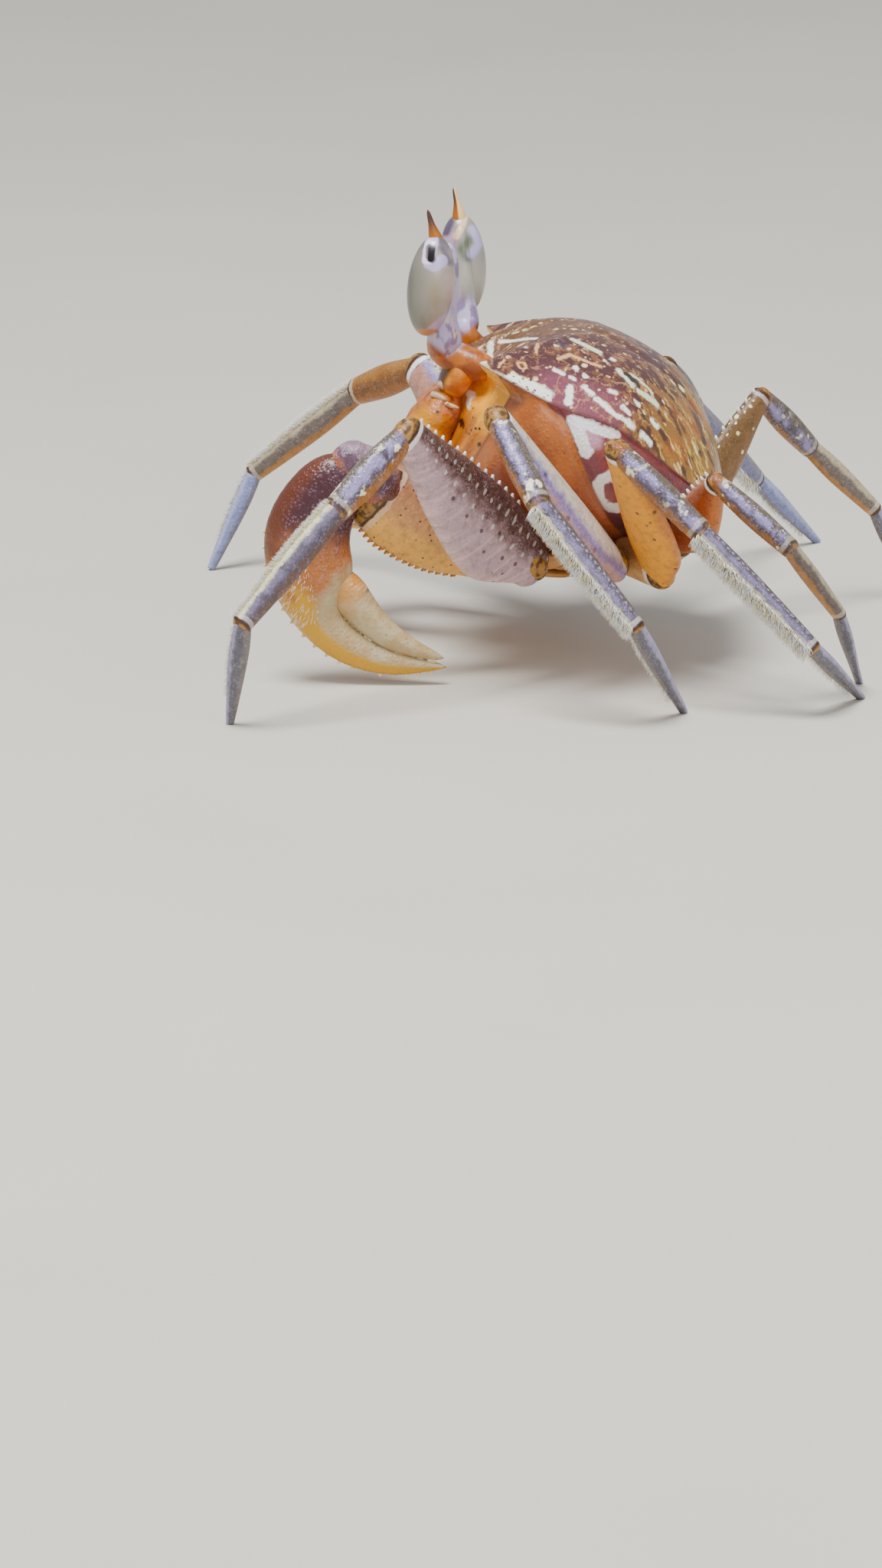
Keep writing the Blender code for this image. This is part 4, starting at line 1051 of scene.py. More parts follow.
def merus_looks():
    limb_look(
        "broad merus", (112, 86, 82), (188, 162, 168), (206, 176, 174), (0.42, -0.75, 0.34),
        speck=(208, 190, 200, 0.35), speck_scale=4.6, dot=(84, 60, 70, 0.8), dot_scale=0.55,
        rim=(236, 226, 228, 0.9), row_gap=1.3, row_share=0.35, second_row=0.4, streak_share=0.7,
    )
    limb_look(
        "violet merus", (220, 210, 196), (150, 138, 184), (196, 150, 136), (0.62, 0.1, 0.3),
        speck=(192, 184, 216, 0.4), speck_scale=4.6, dot=(80, 50, 50, 0.5), dot_scale=0.4,
        rim=(240, 236, 238, 1.0),
    )
    limb_look(
        "orange merus", (196, 134, 104), (216, 138, 66), (238, 164, 54), (0.6, 0.1, 0.35),
        speck=(222, 176, 130, 0.35), dot=(104, 60, 40, 0.8), dot_scale=0.6, rim=(240, 234, 230, 1.0),
    )
    limb_look(
        "red merus", (186, 128, 112), (182, 92, 52), (206, 122, 54), (0.62, -0.3, 0.25),
        speck=(214, 152, 112, 0.3), dot=(104, 60, 40, 0.5), dot_scale=0.6, rim=(244, 240, 238, 1.0),
    )
    limb_look(
        "spotted merus", (118, 92, 64), (130, 98, 66), (146, 104, 70), (0.5, -0.6, 0.25),
        speck=(168, 138, 108, 0.4), row=(236, 222, 184, 1.0), row_at=0.72, second_row=1.0,
        dot=(236, 220, 176, 1.0), dot_scale=0.5, rim=(222, 212, 214, 0.5),
    )
    limb_look(
        "claw merus", (150, 104, 88), (200, 148, 118), (226, 172, 104), (0.55, -0.25, 0.4),
        speck=(216, 176, 140, 0.25), speck_scale=4.6, dot=(102, 62, 46, 0.9), dot_scale=1.15,
        rim=(228, 206, 190, 0.5), streak_share=0.25,
    )


def carpus_looks():
    limb_look(
        "dark carpus", (120, 108, 92), (104, 96, 104), (176, 118, 60), (0.55, -0.6, 0.2), 0.6, 0.3,
        speck=(186, 180, 206, 0.5), speck_scale=4.4, blotch=(240, 232, 208, 1.0),
        base=(164, 104, 48, 0.9), rim=(222, 212, 190, 0.3), sheen_share=0.65,
    )
    limb_look(
        "warm carpus", (170, 118, 66), (142, 94, 54), (178, 112, 50), (0.4, -0.4, 0.3), 0.45,
        speck=(196, 170, 140, 0.35), speck_scale=4.4, rim=(222, 212, 196, 0.5),
    )
    limb_look(
        "claw carpus", (164, 140, 150), (126, 100, 116), (176, 106, 74), (0.5, -0.4, 0.3), 0.5,
        speck=(206, 196, 214, 0.5), speck_scale=4.4, base=(132, 84, 60, 0.8),
    )
    limb_look(
        "ischium", (206, 156, 122), (198, 142, 104), (212, 164, 120), (0.5, -0.4, 0.3),
        speck=(222, 190, 156, 0.3), rim=(232, 220, 210, 0.8), dot=(104, 60, 40, 0.3),
    )


def propodus_looks():
    limb_look(
        "pale propodus", (216, 208, 172), (112, 104, 116), (122, 96, 88), (0.32, -0.6, 0.14), 0.45,
        speck=(166, 158, 188, 0.5), speck_scale=4.6, rim=(216, 208, 200, 0.5), sheen=(150, 142, 168, 0.5),
    )
    limb_look(
        "fringed propodus", (112, 104, 108), (112, 104, 118), (206, 196, 170), (0.6, -0.1, 0.1), 0.4,
        0.36,
        speck=(182, 176, 204, 0.5), speck_scale=4.6, row_at=0.74, row_gap=0.7, row_share=0.25,
        sheen=(160, 152, 186, 0.5), rim=(216, 208, 200, 0.5),
    )
    limb_look(
        "warm propodus", (186, 172, 150), (124, 112, 106), (186, 132, 78), (0.5, -0.45, 0.2), 0.4,
        speck=(178, 168, 176, 0.35), speck_scale=4.6, rim=(212, 200, 184, 0.4),
    )
    limb_look(
        "blue propodus", (150, 144, 152), (136, 138, 166), (190, 178, 158), (0.6, -0.35, 0.2), 0.4, 0.36,
        speck=(190, 190, 214, 0.4), speck_scale=4.6, rim=(216, 208, 200, 0.4),
    )
    limb_look(
        "dactyl", (170, 164, 188), (118, 116, 124), (136, 126, 124), (0.45, -0.5, 0.2),
        speck=(190, 186, 200, 0.3), speck_scale=4.6,
    )
    limb_look(
        "blue dactyl", (172, 174, 200), (140, 146, 182), (146, 142, 156), (0.45, -0.5, 0.25),
        speck=(196, 198, 218, 0.3), speck_scale=4.6,
    )


shell_look()
jaws_look()
face_plate_look()
underside_look()
near_eye_look()
far_eye_look()
stalk_look("stalk_left", False)
stalk_look("stalk_right", True)
horn_look("horn_left", 0.0)
horn_look("horn_right", 1.0)
hand_look("palm", rgb(98, 62, 72), rgb(184, 114, 64))
hand_look("small palm", rgb(150, 92, 92), rgb(196, 128, 84))
finger_look()
plain_look("face feeler", (222, 200, 180), (170, 118, 88), 0.9, 0.34)
plain_look("face ridge", (218, 194, 170), (180, 122, 84), 0.9, 0.34)
plain_look("face lip", (222, 196, 168), (176, 118, 76), 0.9, 0.34)
plain_look("face bead", (244, 238, 228), (226, 214, 200), 0.9, 0.3)
plain_look("spinule", (244, 240, 236), (226, 214, 208))
plain_look("orange tooth", (214, 150, 78), (190, 118, 60))
plain_look("tooth", (240, 228, 200), (222, 198, 156))
plain_look("cream bristle", (252, 248, 238), (240, 232, 214), 1.0, 0.6, 0.0)
merus_looks()
carpus_looks()
propodus_looks()


# Pieces.

def add_item(name, data):
    item = bpy.data.objects.new(name, data)
    bpy.context.scene.collection.objects.link(item)
    return item


def new_mesh(name, surface, look):
    mesh = bpy.data.meshes.new(name)
    surface.to_mesh(mesh)
    surface.free()
    mesh.materials.append(MADE[look])
    return mesh


def add_piece(name, surface, look, slot, *nodes):
    bmesh.ops.translate(surface, verts=surface.verts, vec=ROOM_SHIFT)
    bmesh.ops.scale(surface, verts=surface.verts, vec=(MM, MM, MM))
    mesh = new_mesh(name, surface, look)
    mesh.shade_smooth()
    item = add_item(name, mesh)
    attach(item, "root")
    if nodes:
        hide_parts(*nodes)


def new_surface():
    surface = bmesh.new()
    surface.verts.layers.float_vector.new("spot")
    return surface


def merge(surface, other):
    """Adds another surface to the first one and frees it."""
    mesh = bpy.data.meshes.new("part")
    other.to_mesh(mesh)
    other.free()
    surface.from_mesh(mesh)
    bpy.data.meshes.remove(mesh)


def skin(turns, rings, place):
    """A closed surface: a sphere whose points go where place(turn, share) puts them, 0 at its foot."""
    surface = new_surface()
    layer = surface.verts.layers.float_vector["spot"]
    bmesh.ops.create_uvsphere(surface, u_segments=turns, v_segments=rings, radius=1.0)
    for vertex in surface.verts:
        x, y, z = vertex.co
        turn = math.atan2(y, x) / (2 * math.pi) % 1.0
        share = math.acos(max(-1.0, min(1.0, -z))) / math.pi
        vertex.co, vertex[layer] = place(turn, share)
    bmesh.ops.recalc_face_normals(surface, faces=surface.faces)
    return surface


def circle(turn):
    angle = 2 * math.pi * turn
    return math.cos(angle), math.sin(angle)


def ball(turn, share):
    """The point of a round ball at a turn and a share from its foot to its top."""
    x, y = circle(turn)
    flat = math.cos(math.pi * (share - 0.5))
    return flat * x, flat * y, math.sin(math.pi * (share - 0.5))


def cone(surface, length, radius, top, sides, fan):
    made = bmesh.ops.create_cone(
        surface, cap_ends=True, cap_tris=fan, segments=sides,
        radius1=radius, radius2=radius * top, depth=length,
    )
    return made["verts"]


def stand(surface, points, middle, heading):
    """Turns points from upright to a heading and moves them to their middle."""
    turn = UPRIGHT.rotation_difference(heading).to_matrix().to_4x4()
    bmesh.ops.transform(surface, matrix=Matrix.Translation(middle) @ turn, verts=points)


def add_spike(surface, root, tip, radius):
    """Adds a small blunt cone that stands at root and points to tip."""
    made = new_surface()
    points = cone(made, (tip - root).length, radius, 0.35, 6, True)
    stand(made, points, (root + tip) / 2, tip - root)
    merge(surface, made)


# Carapace.

def outline():
    """The shell's margin as even steps from the middle of the front edge round by the left side."""
    front = smooth_path([Vector(spot) for spot in FRONT_EDGE], 8)
    side = smooth_path([Vector(spot) for spot in SIDE_EDGE], 10)
    half = even_path(front[:-1] + side, SHELL_COLUMNS // 2)
    return half + [Vector((-point.x, point.y)) for point in reversed(half[1:-1])]


OUTLINE = outline()


def margin_spot(turn):
    spot = OUTLINE[int(round(turn * SHELL_COLUMNS)) % SHELL_COLUMNS]
    return spot.x, spot.y


def margin_height(left, back):
    droop = blend(0.0, ROSTRUM_DROOP, 1.0 - abs(left) / 6.0) * ease((-10.0 - back) / 1.5)
    crest = SIDE_CREST * bell((back - CREST_BACK) / CREST_REACH)
    rise = blend(0.0, SIDE_RISE + crest, (abs(left) - 10.0) / 6.0)
    return rise - droop - blend(0.0, REAR_DROOP, (back - 6.0) / 9.0)


def wall_depth(back):
    return blend(WALL_DEPTH, REAR_WALL_DEPTH, (back - 1.0) / 14.0)


def tuck(back):
    """How far the belly's edge draws in lengthwise."""
    return REAR_TUCK if back > 0.0 else FRONT_TUCK


def shell_level(share):
    """From the share between the poles: 0 to 1 over the dome, to 2 down the wall, to 3 under the floor."""
    for (start, low), (end, high) in zip(LEVEL_STOPS, LEVEL_STOPS[1:]):
        if share <= end:
            return low + (high - low) * (share - start) / (end - start)
    return 3.0


def dome_relief(left, back):
    """Low swellings and grooves of the back: the stomach, the heart and the gill regions."""
    left = abs(left)
    heart = 0.22 * bell(left / 3.2) * bell((back - 4.5) / 4.0)
    neck = 0.3 * bell((left - 4.6 - 0.35 * (back + 1.0)) / 0.8) * ease((5.0 - abs(back + 1.5)) / 3.0)
    ring = 0.22 * bell((left - 5.2) / 0.7) * ease((4.0 - abs(back - 6.0)) / 2.0)
    return heart - neck - ring


def dome_point(left, back, level):
    fade = level ** 2.5
    up = DOME_HEIGHT * (1.0 - fade) + margin_height(left, back) * fade
    reach = math.hypot(left / HALF_WIDTH, back / REAR_BACK)
    oval = 1.0 + (1.0 / reach - 1.0) * (1.0 - level ** 2)
    left, back = left * level * oval, back * level * oval
    return left, back, up + dome_relief(left, back) * (1.0 - level ** 6)


def wall_point(left, back, drop):
    up = margin_height(left, back) * (1.0 - drop) - wall_depth(back) * drop
    left *= 1.0 + 0.05 * math.sin(math.pi * drop) - (1.0 - BELLY_SCALE) * drop ** 2
    return left, back * (1.0 - tuck(back) * drop ** 1.5), up


def floor_point(left, back, inward):
    left *= BELLY_SCALE * (1.0 - inward)
    back *= (1.0 - tuck(back)) * (1.0 - inward)
    return left, back, -wall_depth(back)


def sink_socket(left, back, up):
    """Pushes the front wall back where the eye's long socket is."""
    away = math.hypot((abs(left) - ORBIT_LEFT) / ORBIT_HALF_WIDTH, (up - ORBIT_UP) / ORBIT_HALF_HEIGHT)
    if away < 1.0 and back < 0.0:
        back = max(back, ORBIT_BACK + ORBIT_DEPTH * math.sqrt(1.0 - away ** 2))
    return back


def corner_share(left, back, level):
    """How far the corner under the front tooth is drawn in, 0 to 1."""
    reach = ease((abs(left) - 7.0) / 8.0) * ease((-6.0 - back) / 7.0)
    return reach * ease((level - 1.0) / 0.12) * ease((2.0 - level) / 0.3)


def shell_place(turn, share):
    left, back = margin_spot(turn)
    level = shell_level(1.0 - share)
    if level <= 1.0:
        marks = dome_point(left, back, level)
    elif level <= 2.0:
        marks = wall_point(left, back, level - 1.0)
    else:
        marks = floor_point(left, back, level - 2.0)
    left, back, up = marks
    if 1.0 < level < 1.8:
        back = sink_socket(left, back, up)
    if 1.0 < level < 2.0 and marks[1] < -6.0:
        corner = corner_share(marks[0], marks[1], level)
        left -= math.copysign(CORNER_IN * corner, left)
        back += CORNER_BACK * corner
    grow = 1.0 + EDGE_GROW * bell((level - 1.0) / (0.016 if level < 1.0 else 0.02))
    if 1.0 < level < 2.0 and back > -6.0:
        grow -= SEAM_CUT * bell((up - curve_value(SEAM, back)) / 0.5) * ease((level - 1.0) / 0.06)
    return body_point(left * grow, back * grow, up), marks


def add_shell_zones(surface):
    """Marks each point as dome or wall, as cheek in front of and under the seam, and as face."""
    layer = surface.verts.layers.float_vector.new("zone")
    spots = surface.verts.layers.float_vector["spot"]
    for vertex in surface.verts:
        left, back, up = vertex[spots]
        wall = clip(0.5 + (margin_height(left, back) - up) / 0.7)
        if abs(left) < 10.0 and -9.0 < back < 13.0 and up > -6.0:
            wall = 0.0
        cheek = 1.0 if back < -5.8 else clip(0.5 + (curve_value(SEAM, back) - up) / 1.2)
        vertex[layer] = (wall, cheek, clip(0.5 + (FACE_BACK - back) / 0.8))


def sternum_place(turn, share):
    left, back = margin_spot(turn)
    back = max(back, STERNUM_FRONT)
    spread = curve_value(STERNUM_SPREADS, share)
    drop = curve_value(STERNUM_DROPS, share)
    place = back * min(spread, 0.9) * 0.95
    across = left * BELLY_SCALE * spread
    grooves = max(bell((place - seam - abs(across) * 0.18) / 0.28) for seam in STERNUM_SEAMS)
    if drop > 0.4 and abs(across) > 2.0:
        drop -= 0.22 * grooves
    return body_point(across, place, -wall_depth(place) - GAP - drop), (across, place, grooves)


def abdomen_place(turn, share):
    first, last = ABDOMEN_STATIONS[0][0], ABDOMEN_STATIONS[-1][0]
    back = first + (last - first) * (0.5 - 0.5 * math.cos(math.pi * share)) * 0.999
    blunt = math.sqrt(max(0.0, math.sin(math.pi * share)))
    half_width = curve_value(ABDOMEN_STATIONS, back) * min(1.0, blunt * 1.35)
    rings = max(bell((back - seam) / 0.2) for seam in ABDOMEN_SEAMS)
    half_thick = ABDOMEN_THICKNESS / 2 * min(1.0, blunt * 1.6) * (1.0 - 0.3 * rings)
    across, over = circle(turn)
    up = -wall_depth(back) - GAP - STERNUM_DEPTH - GAP - ABDOMEN_THICKNESS / 2 + over * half_thick
    left = math.copysign(abs(across) ** 0.7, across) * half_width
    return body_point(left, back, up), (left, back, rings)


def jaw_place(sign):
    """One outer jaw-leg: a long plate with a cross groove and a lengthwise groove."""
    def place(turn, share):
        x, y, z = ball(turn, share)
        cross = bell((z * JAW_RADII[2] - 1.0 + 0.5 * x) / 0.3)
        grow = 1.0 - 0.07 * cross - 0.04 * bell((x - 0.35) / 0.12) * ease(0.5 - z)
        local = (x * JAW_RADII[0] * grow, y * JAW_RADII[1] * grow, z * JAW_RADII[2])
        left, back, up = (middle + part for middle, part in zip(JAW_CENTRE, local))
        return body_point(sign * left, back, up), (sign * local[0], local[1], local[2])

    return place


def build_shell():
    surface = skin(SHELL_COLUMNS, SHELL_ROWS, shell_place)
    add_shell_zones(surface)
    add_piece("shell_carapace", surface, "shell", "shell", "carapace")
    add_piece("shell_sternum", skin(150, 60, sternum_place), "underside", "underside", "sternum")
    add_piece("shell_abdomen", skin(40, 120, abdomen_place), "underside", "underside", "abdomen")
    surface = skin(48, 40, jaw_place(1))
    merge(surface, skin(48, 40, jaw_place(-1)))
    add_piece("shell_mouthparts", surface, "jaws", "underside", "mouthparts")


# Rods, face and eyes.

def tube_skin(points, radii, turns=28, rings=60):
    """A rounded rod along a path; its spot is (share along, across, round)."""
    path = even_path(points, rings)
    frames = []
    side = Vector((1.0, 0.0, 0.0))
    for i, point in enumerate(path):
        axis = (path[min(i + 1, rings)] - path[max(i - 1, 0)]).normalized()
        side = square_to(axis, side)
        frames.append((point, side, axis.cross(side)))

    def place(turn, share):
        spot, side, other = frames[min(rings, int(round(share * rings)))]
        x, y = circle(turn)
        radius = curve_value(radii, share) * min(1.0, math.sqrt(max(0.0, 1.0 - (2.0 * share - 1.0) ** 8)))
        return spot + side * (x * radius) + other * (y * radius), (share, x, y)

    return skin(turns, rings, place)


def face_plate_place(turn, share):
    unit = ball(turn, share)
    boxy = [math.copysign(abs(part) ** 0.75, part) for part in unit]
    return body_point(*(middle + half * part for middle, half, part in zip(*FACE_PLATE, boxy))), unit


def build_face():
    for name, places, width in FACE_RODS:
        both = new_surface()
        for sign in (1, -1):
            path = smooth_path([body_point(sign * left, back, up) for left, back, up in places], 8)
            merge(both, tube_skin(path, ((0.0, width), (0.4, width), (1.0, width * 0.6)), 24, 40))
        add_piece("face_" + name, both, "face " + name, "underside")
    add_piece("face_plate", skin(40, 32, face_plate_place), "face plate", "underside")


def mark_eye(surface, centre):
    """Stores where each point lies in the view, from the eye's middle: right, up and towards the viewer."""
    layer = surface.verts.layers.float_vector.new("eye")
    back, right, top = view_axes()
    for vertex in surface.verts:
        offset = vertex.co - centre
        vertex[layer] = (offset.dot(right), offset.dot(top), offset.dot(back))


def build_stalk(side, centre, upward, inner):
    points = [body_on_side(side, STALK_ROOT)]
    points += [centre + upward * height + inner * offset for height, offset, _ in STALK_STATIONS]
    radii = [STALK_ROOT_RADIUS] + [radius for _, _, radius in STALK_STATIONS]
    if side == "right":
        radii[:4] = [radius * FAR_STALK_SLIMMING for radius in radii[:4]]
    shares = [0.0]
    for start, end in zip(points, points[1:]):
        shares.append(shares[-1] + (end - start).length)
    stations = [(share / shares[-1], radius) for share, radius in zip(shares, radii)]
    surface = tube_skin(smooth_path(points, 8), stations)
    mark_eye(surface, centre)
    add_piece("stalk_" + side, surface, "stalk_" + side, "stalk", "eyestalk_" + side)


def build_eye(side):
    centre = Vector(EYE_CENTRES[side])
    upward = direction(*EYE_LEANS[side])
    inner = square_to(upward, direction(EYE_INNER_HEADINGS[side], 0.0))
    across = upward.cross(inner)

    def cornea_place(turn, share):
        x, y, z = ball(turn, share)
        offset = inner * (x * EYE_RADIUS) + across * (y * EYE_RADIUS) + upward * (z * EYE_HALF_LENGTH)
        return centre + offset, (x, y, z)

    surface = skin(64, 64, cornea_place)
    mark_eye(surface, centre)
    add_piece("cornea_" + side, surface, "cornea_" + side, "cornea", "eye_" + side)
    build_stalk(side, centre, upward, inner)
    base = centre + upward * (EYE_HALF_LENGTH - 1.1) + inner * 0.3
    tip = centre + upward * EYE_HALF_LENGTH + direction(*HORN_LEANS[side]) * HORN_LENGTH
    path = smooth_path([base, base.lerp(tip, 0.5) + across * 0.08, tip], 8)
    horn = tube_skin(path, HORN_STATIONS, 20, 30)
    add_piece("horn_piece_" + side, horn, "horn_" + side, "horn", "horn_" + side)


# Limbs.

class Limb:
    """A tapering piece between two points, flat across one direction, with rounded ends."""

    def __init__(self, start, end, normal, widths, thicknesses, lean=NO_LEAN, foot=False):
        self.start = start
        self.axis = (end - start).normalized()
        self.thick = square_to(self.axis, normal)
        self.wide = self.thick.cross(self.axis).normalized()
        self.length = (end - start).length
        self.widths = widths
        self.thicknesses = thicknesses
        self.lean = lean
        self.foot = foot
        self.start_round = widths[0][1] * BASE_ROUND
        self.end_round = 0.0 if foot else widths[-1][1] * END_ROUND
        back = view_axes()[0]
        self.over = self.axis.cross(back).normalized()
        if self.over.z < 0.0:
            self.over = -self.over
        self.towards = self.over.cross(self.axis).normalized()
        if self.towards.dot(back) < 0.0:
            self.towards = -self.towards

    def heading(self, along):
        return self.axis

    def hair_turns(self):
        """The turn of the lower outline in the view, and the sign in which turns come to the viewer."""
        low = self.turn_of(-self.over)
        return low, 1.0 if (self.turn_of(self.towards) - low) % 1.0 < 0.5 else -1.0

    def turn_of(self, heading):
        """The turn at which the skin faces a heading."""
        return math.atan2(self.thick.dot(heading), self.wide.dot(heading)) / (2 * math.pi)

    def distance(self, share):
        """How far from the base a share from pole to pole lies."""
        run = 0.5 * share + 0.25 * (1.0 - math.cos(math.pi * share))
        return -self.start_round + (self.length + self.start_round + self.end_round) * run

    def middle(self, distance, along):
        return self.start + self.axis * distance + self.wide * curve_value(self.lean, along)

    def place(self, turn, share):
        """The point at a turn round the piece (0 its lower edge, 0.5 its upper) and a share along it."""
        distance = self.distance(share)
        along = clip(distance / self.length)
        fullness = 1.0
        if distance < 0.0:
            fullness = math.sqrt(max(0.0, 1.0 - (distance / self.start_round) ** 2))
        elif distance > self.length and self.end_round:
            fullness = math.sqrt(max(0.0, 1.0 - ((distance - self.length) / self.end_round) ** 2))
        if self.foot and share > 0.995:
            fullness = 0.0
        half_wide = curve_value(self.widths, along) / 2 * fullness
        half_thick = curve_value(self.thicknesses, along) / 2 * fullness
        x, y = circle(turn)
        out = self.wide * x + self.thick * y
        point = self.middle(distance, along) + self.wide * (x * half_wide) + self.thick * (y * half_thick)
        if self.foot:
            point.z = max(0.0, point.z)
        return point, (distance / self.length, out.dot(self.over), out.dot(self.towards))

    def surface(self):
        """The skin, with each point's distances from the base and to the end."""
        surface = skin(36, 56, self.place)
        layer = surface.verts.layers.float_vector.new("reach")
        spots = surface.verts.layers.float_vector["spot"]
        for vertex in surface.verts:
            distance = vertex[spots].x * self.length
            vertex[layer] = (distance, self.length - distance + (2.0 if self.foot else 0.0), self.length)
        return surface

    def at(self, along, turn, out=0.0):
        """A place on the skin and the direction straight out of it."""
        point, _ = self.place(turn, self.share_of(along))
        away = (point - self.middle(along * self.length, along)).normalized()
        return point + away * out, away

    def share_of(self, along):
        low, high = 0.0, 1.0
        for _ in range(24):
            middle = (low + high) / 2
            if self.distance(middle) < along * self.length:
                low = middle
            else:
                high = middle
        return (low + high) / 2


def claw_line(start, heading, normal, length):
    points = [start.copy()]
    for step in range(CLAW_STEPS):
        along = heading.copy()
        turned = blend(0.0, CLAW_TURN, (step + 0.5) / CLAW_STEPS)
        along.rotate(Matrix.Rotation(math.radians(turned), 3, normal))
        points.append(points[-1] + along * (length / CLAW_STEPS))
    return points


class Hand:
    """The palm with its fixed finger, or the moving finger, as a blade along the claw's middle line."""

    def __init__(self, path, normal, size, stations):
        self.path = path
        self.normal = normal
        self.size = size
        self.first, self.last = stations[0][0], stations[-1][0]
        self.width, self.thickness, self.shift = (
            [(station[0], station[i] * size) for station in stations] for i in (1, 2, 3)
        )

    def frame(self, along):
        spot = along * (len(self.path) - 1)
        i = min(int(spot), len(self.path) - 2)
        centre = self.path[i].lerp(self.path[i + 1], spot - i)
        axis = (self.path[i + 1] - self.path[i]).normalized()
        outward = axis.cross(self.normal).normalized()
        return centre + outward * curve_value(self.shift, along), axis, outward

    def offset(self, along, turn, outward, blunt=1.0):
        """From the middle line to the skin."""
        x, y = circle(turn)
        half_wide = curve_value(self.width, along) / 2 * blunt
        half_thick = curve_value(self.thickness, along) / 2 * blunt
        return outward * (x * half_wide) + self.normal * (y * half_thick)

    def place(self, turn, share):
        run = 0.6 * share + 0.2 * (1.0 - math.cos(math.pi * share))
        along = self.first + (self.last - self.first) * run
        centre, axis, outward = self.frame(along)
        blunt = math.sqrt(max(0.0, 1.0 - abs(2.0 * share - 1.0) ** 14))
        centre = centre + axis * (0.6 * self.size * (blunt - 1.0) * (1.0 if share < 0.5 else -0.6))
        return centre + self.offset(along, turn, outward, blunt), (along, *circle(turn))

    def surface(self):
        return skin(48, 90, self.place)

    def heading(self, along):
        return self.frame(along)[1]

    def hair_turns(self):
        return 0.0, 1.0

    def at(self, along, turn):
        centre, _, outward = self.frame(along)
        away = self.offset(along, turn, outward)
        return centre + away, away.normalized()


def joint_chain(side, socket, lengths, angles):
    """The joints of a limb, from its socket on."""
    joints = [body_on_side(side, socket)]
    for length, (heading, climb) in zip(lengths, angles):
        joints.append(joints[-1] + direction(heading, climb) * length)
    return joints


def sized(stations, size):
    return [(at, value * size) for at, value in stations]


def claw_parts(side):
    size = CLAW_SIZE[side]
    lengths = CLAW_LENGTHS[side]
    joints = joint_chain(side, CLAW_SOCKET, lengths[:3], CLAW_STANCE[side])
    start = direction(*CLAW_START[side])
    normal = square_to(start, direction(*CLAW_NORMAL[side]))
    parts = {}
    for (name, form), base, end in zip(CLAW_FORMS.items(), joints, joints[1:]):
        parts[name] = Limb(base, end, normal, *(sized(stations, size) for stations in form))
    path = claw_line(joints[3], start, normal, lengths[3])
    parts["palm"] = Hand(path, normal, size, PALM)
    parts["finger"] = Hand(path, normal, size, FINGER)
    return parts


def leg_parts(side, number):
    lengths = LEG_LENGTHS[number]
    angles = STANCE[(side, number)]
    joints = joint_chain(side, LEG_SOCKETS[number], lengths[:4], angles[:4])
    slope = math.degrees(math.asin(min(0.98, joints[4].z / lengths[4])))
    toe = joints[4] + direction(angles[4], -slope) * lengths[4]
    toe.z = 0.0
    joints.append(toe)
    bend = (joints[2] - joints[1]).cross(joints[3] - joints[2]).normalized()
    slim = MERUS_THICKNESS[number] / MERUS_THICKNESS[1]
    forms = {name: [sized(stations, slim) for stations in form] for name, form in LEG_FORMS.items()}
    for stations in forms["dactyl"]:
        stations.append((1.0, FOOT_WIDTH))
    sizes = (MERUS_WIDTH[number], MERUS_THICKNESS[number], MERUS_WIDTH[number])
    forms["merus"] = [sized(stations, size) for stations, size in zip(MERUS_FORM, sizes)]
    return {
        name: Limb(base, end, bend, *forms[name], foot=name == "dactyl")
        for name, base, end in zip(PARTS, joints, joints[1:])
    }


def steps(first, last, count):
    return [first + (last - first) * i / (count - 1) for i in range(count)]


def add_spinules(name, limb, places, length, radius, look, slot, turn=0.5):
    """A row of small blunt spines along one edge, pointing out and a little forward."""
    surface = new_surface()
    for along in places:
        root, away = limb.at(along, turn, -0.1)
        add_spike(surface, root, root + (away + limb.axis * 0.55).normalized() * length, radius)
    add_piece(name, surface, look, slot)


class Bristles:
    """Short stiff hairs; each lies in a small patch of the bristle map at its root's place."""

    def __init__(self, name):
        self.name = name
        self.random = random.Random(SEED + len(name))
        self.surface = self.new_batch()

    def new_batch(self):
        batch = new_surface()
        batch.loops.layers.uv.new("OFBake")
        return batch

    def hair(self, batch, root, heading, length, radius, map_place):
        layer = batch.loops.layers.uv["OFBake"]
        made = cone(batch, length, radius, 0.15, 3, False)
        for face in {face for vertex in made for face in vertex.link_faces}:
            for loop in face.loops:
                loop[layer].uv = (
                    map_place[0] + 0.0015 * loop.vert.co.x / radius,
                    map_place[1] + 0.003 * loop.vert.co.z / length,
                )
        stand(batch, made, root + heading * (length / 2), heading)

    def field(self, part, count, along, turn, length, radius, sweep=0.5, swirl=0.25):
        """Scatters hairs over a patch. Turns run from the lower outline towards the viewer and up."""
        batch = self.new_batch()
        start, step = part.hair_turns()
        for i in range(count):
            at = self.random.uniform(*along)
            angle = (start + step * self.random.uniform(*turn)) % 1.0
            root, away = part.at(at, angle)
            jitter = Vector([self.random.uniform(-swirl, swirl) for _ in range(3)])
            heading = (away + part.heading(at) * sweep + jitter).normalized()
            long = length * self.random.uniform(0.65, 1.15)
            self.hair(batch, root - away * 0.08, heading, long, radius, (0.02 + 0.96 * at, angle))
            if i % HAIRS_A_BATCH == HAIRS_A_BATCH - 1:
                merge(self.surface, batch)
                batch = self.new_batch()
        merge(self.surface, batch)

    def finish(self, slot):
        add_piece(self.name, self.surface, "cream bristle", slot)


def build_leg(side, number):
    parts = leg_parts(side, number)
    for name, look in zip(PARTS, LEG_LOOKS[(side, number)]):
        node = "leg%d_%s_%s" % (number, side, name)
        add_piece("skin_" + node, parts[name].surface(), look, "limb", node)
    count, length = MERUS_SPINES[number]
    places = steps(0.25, 0.97, count)
    add_spinules("spines_%d_%s" % (number, side), parts["merus"], places, length, 0.27, "spinule", "limb")
    return parts


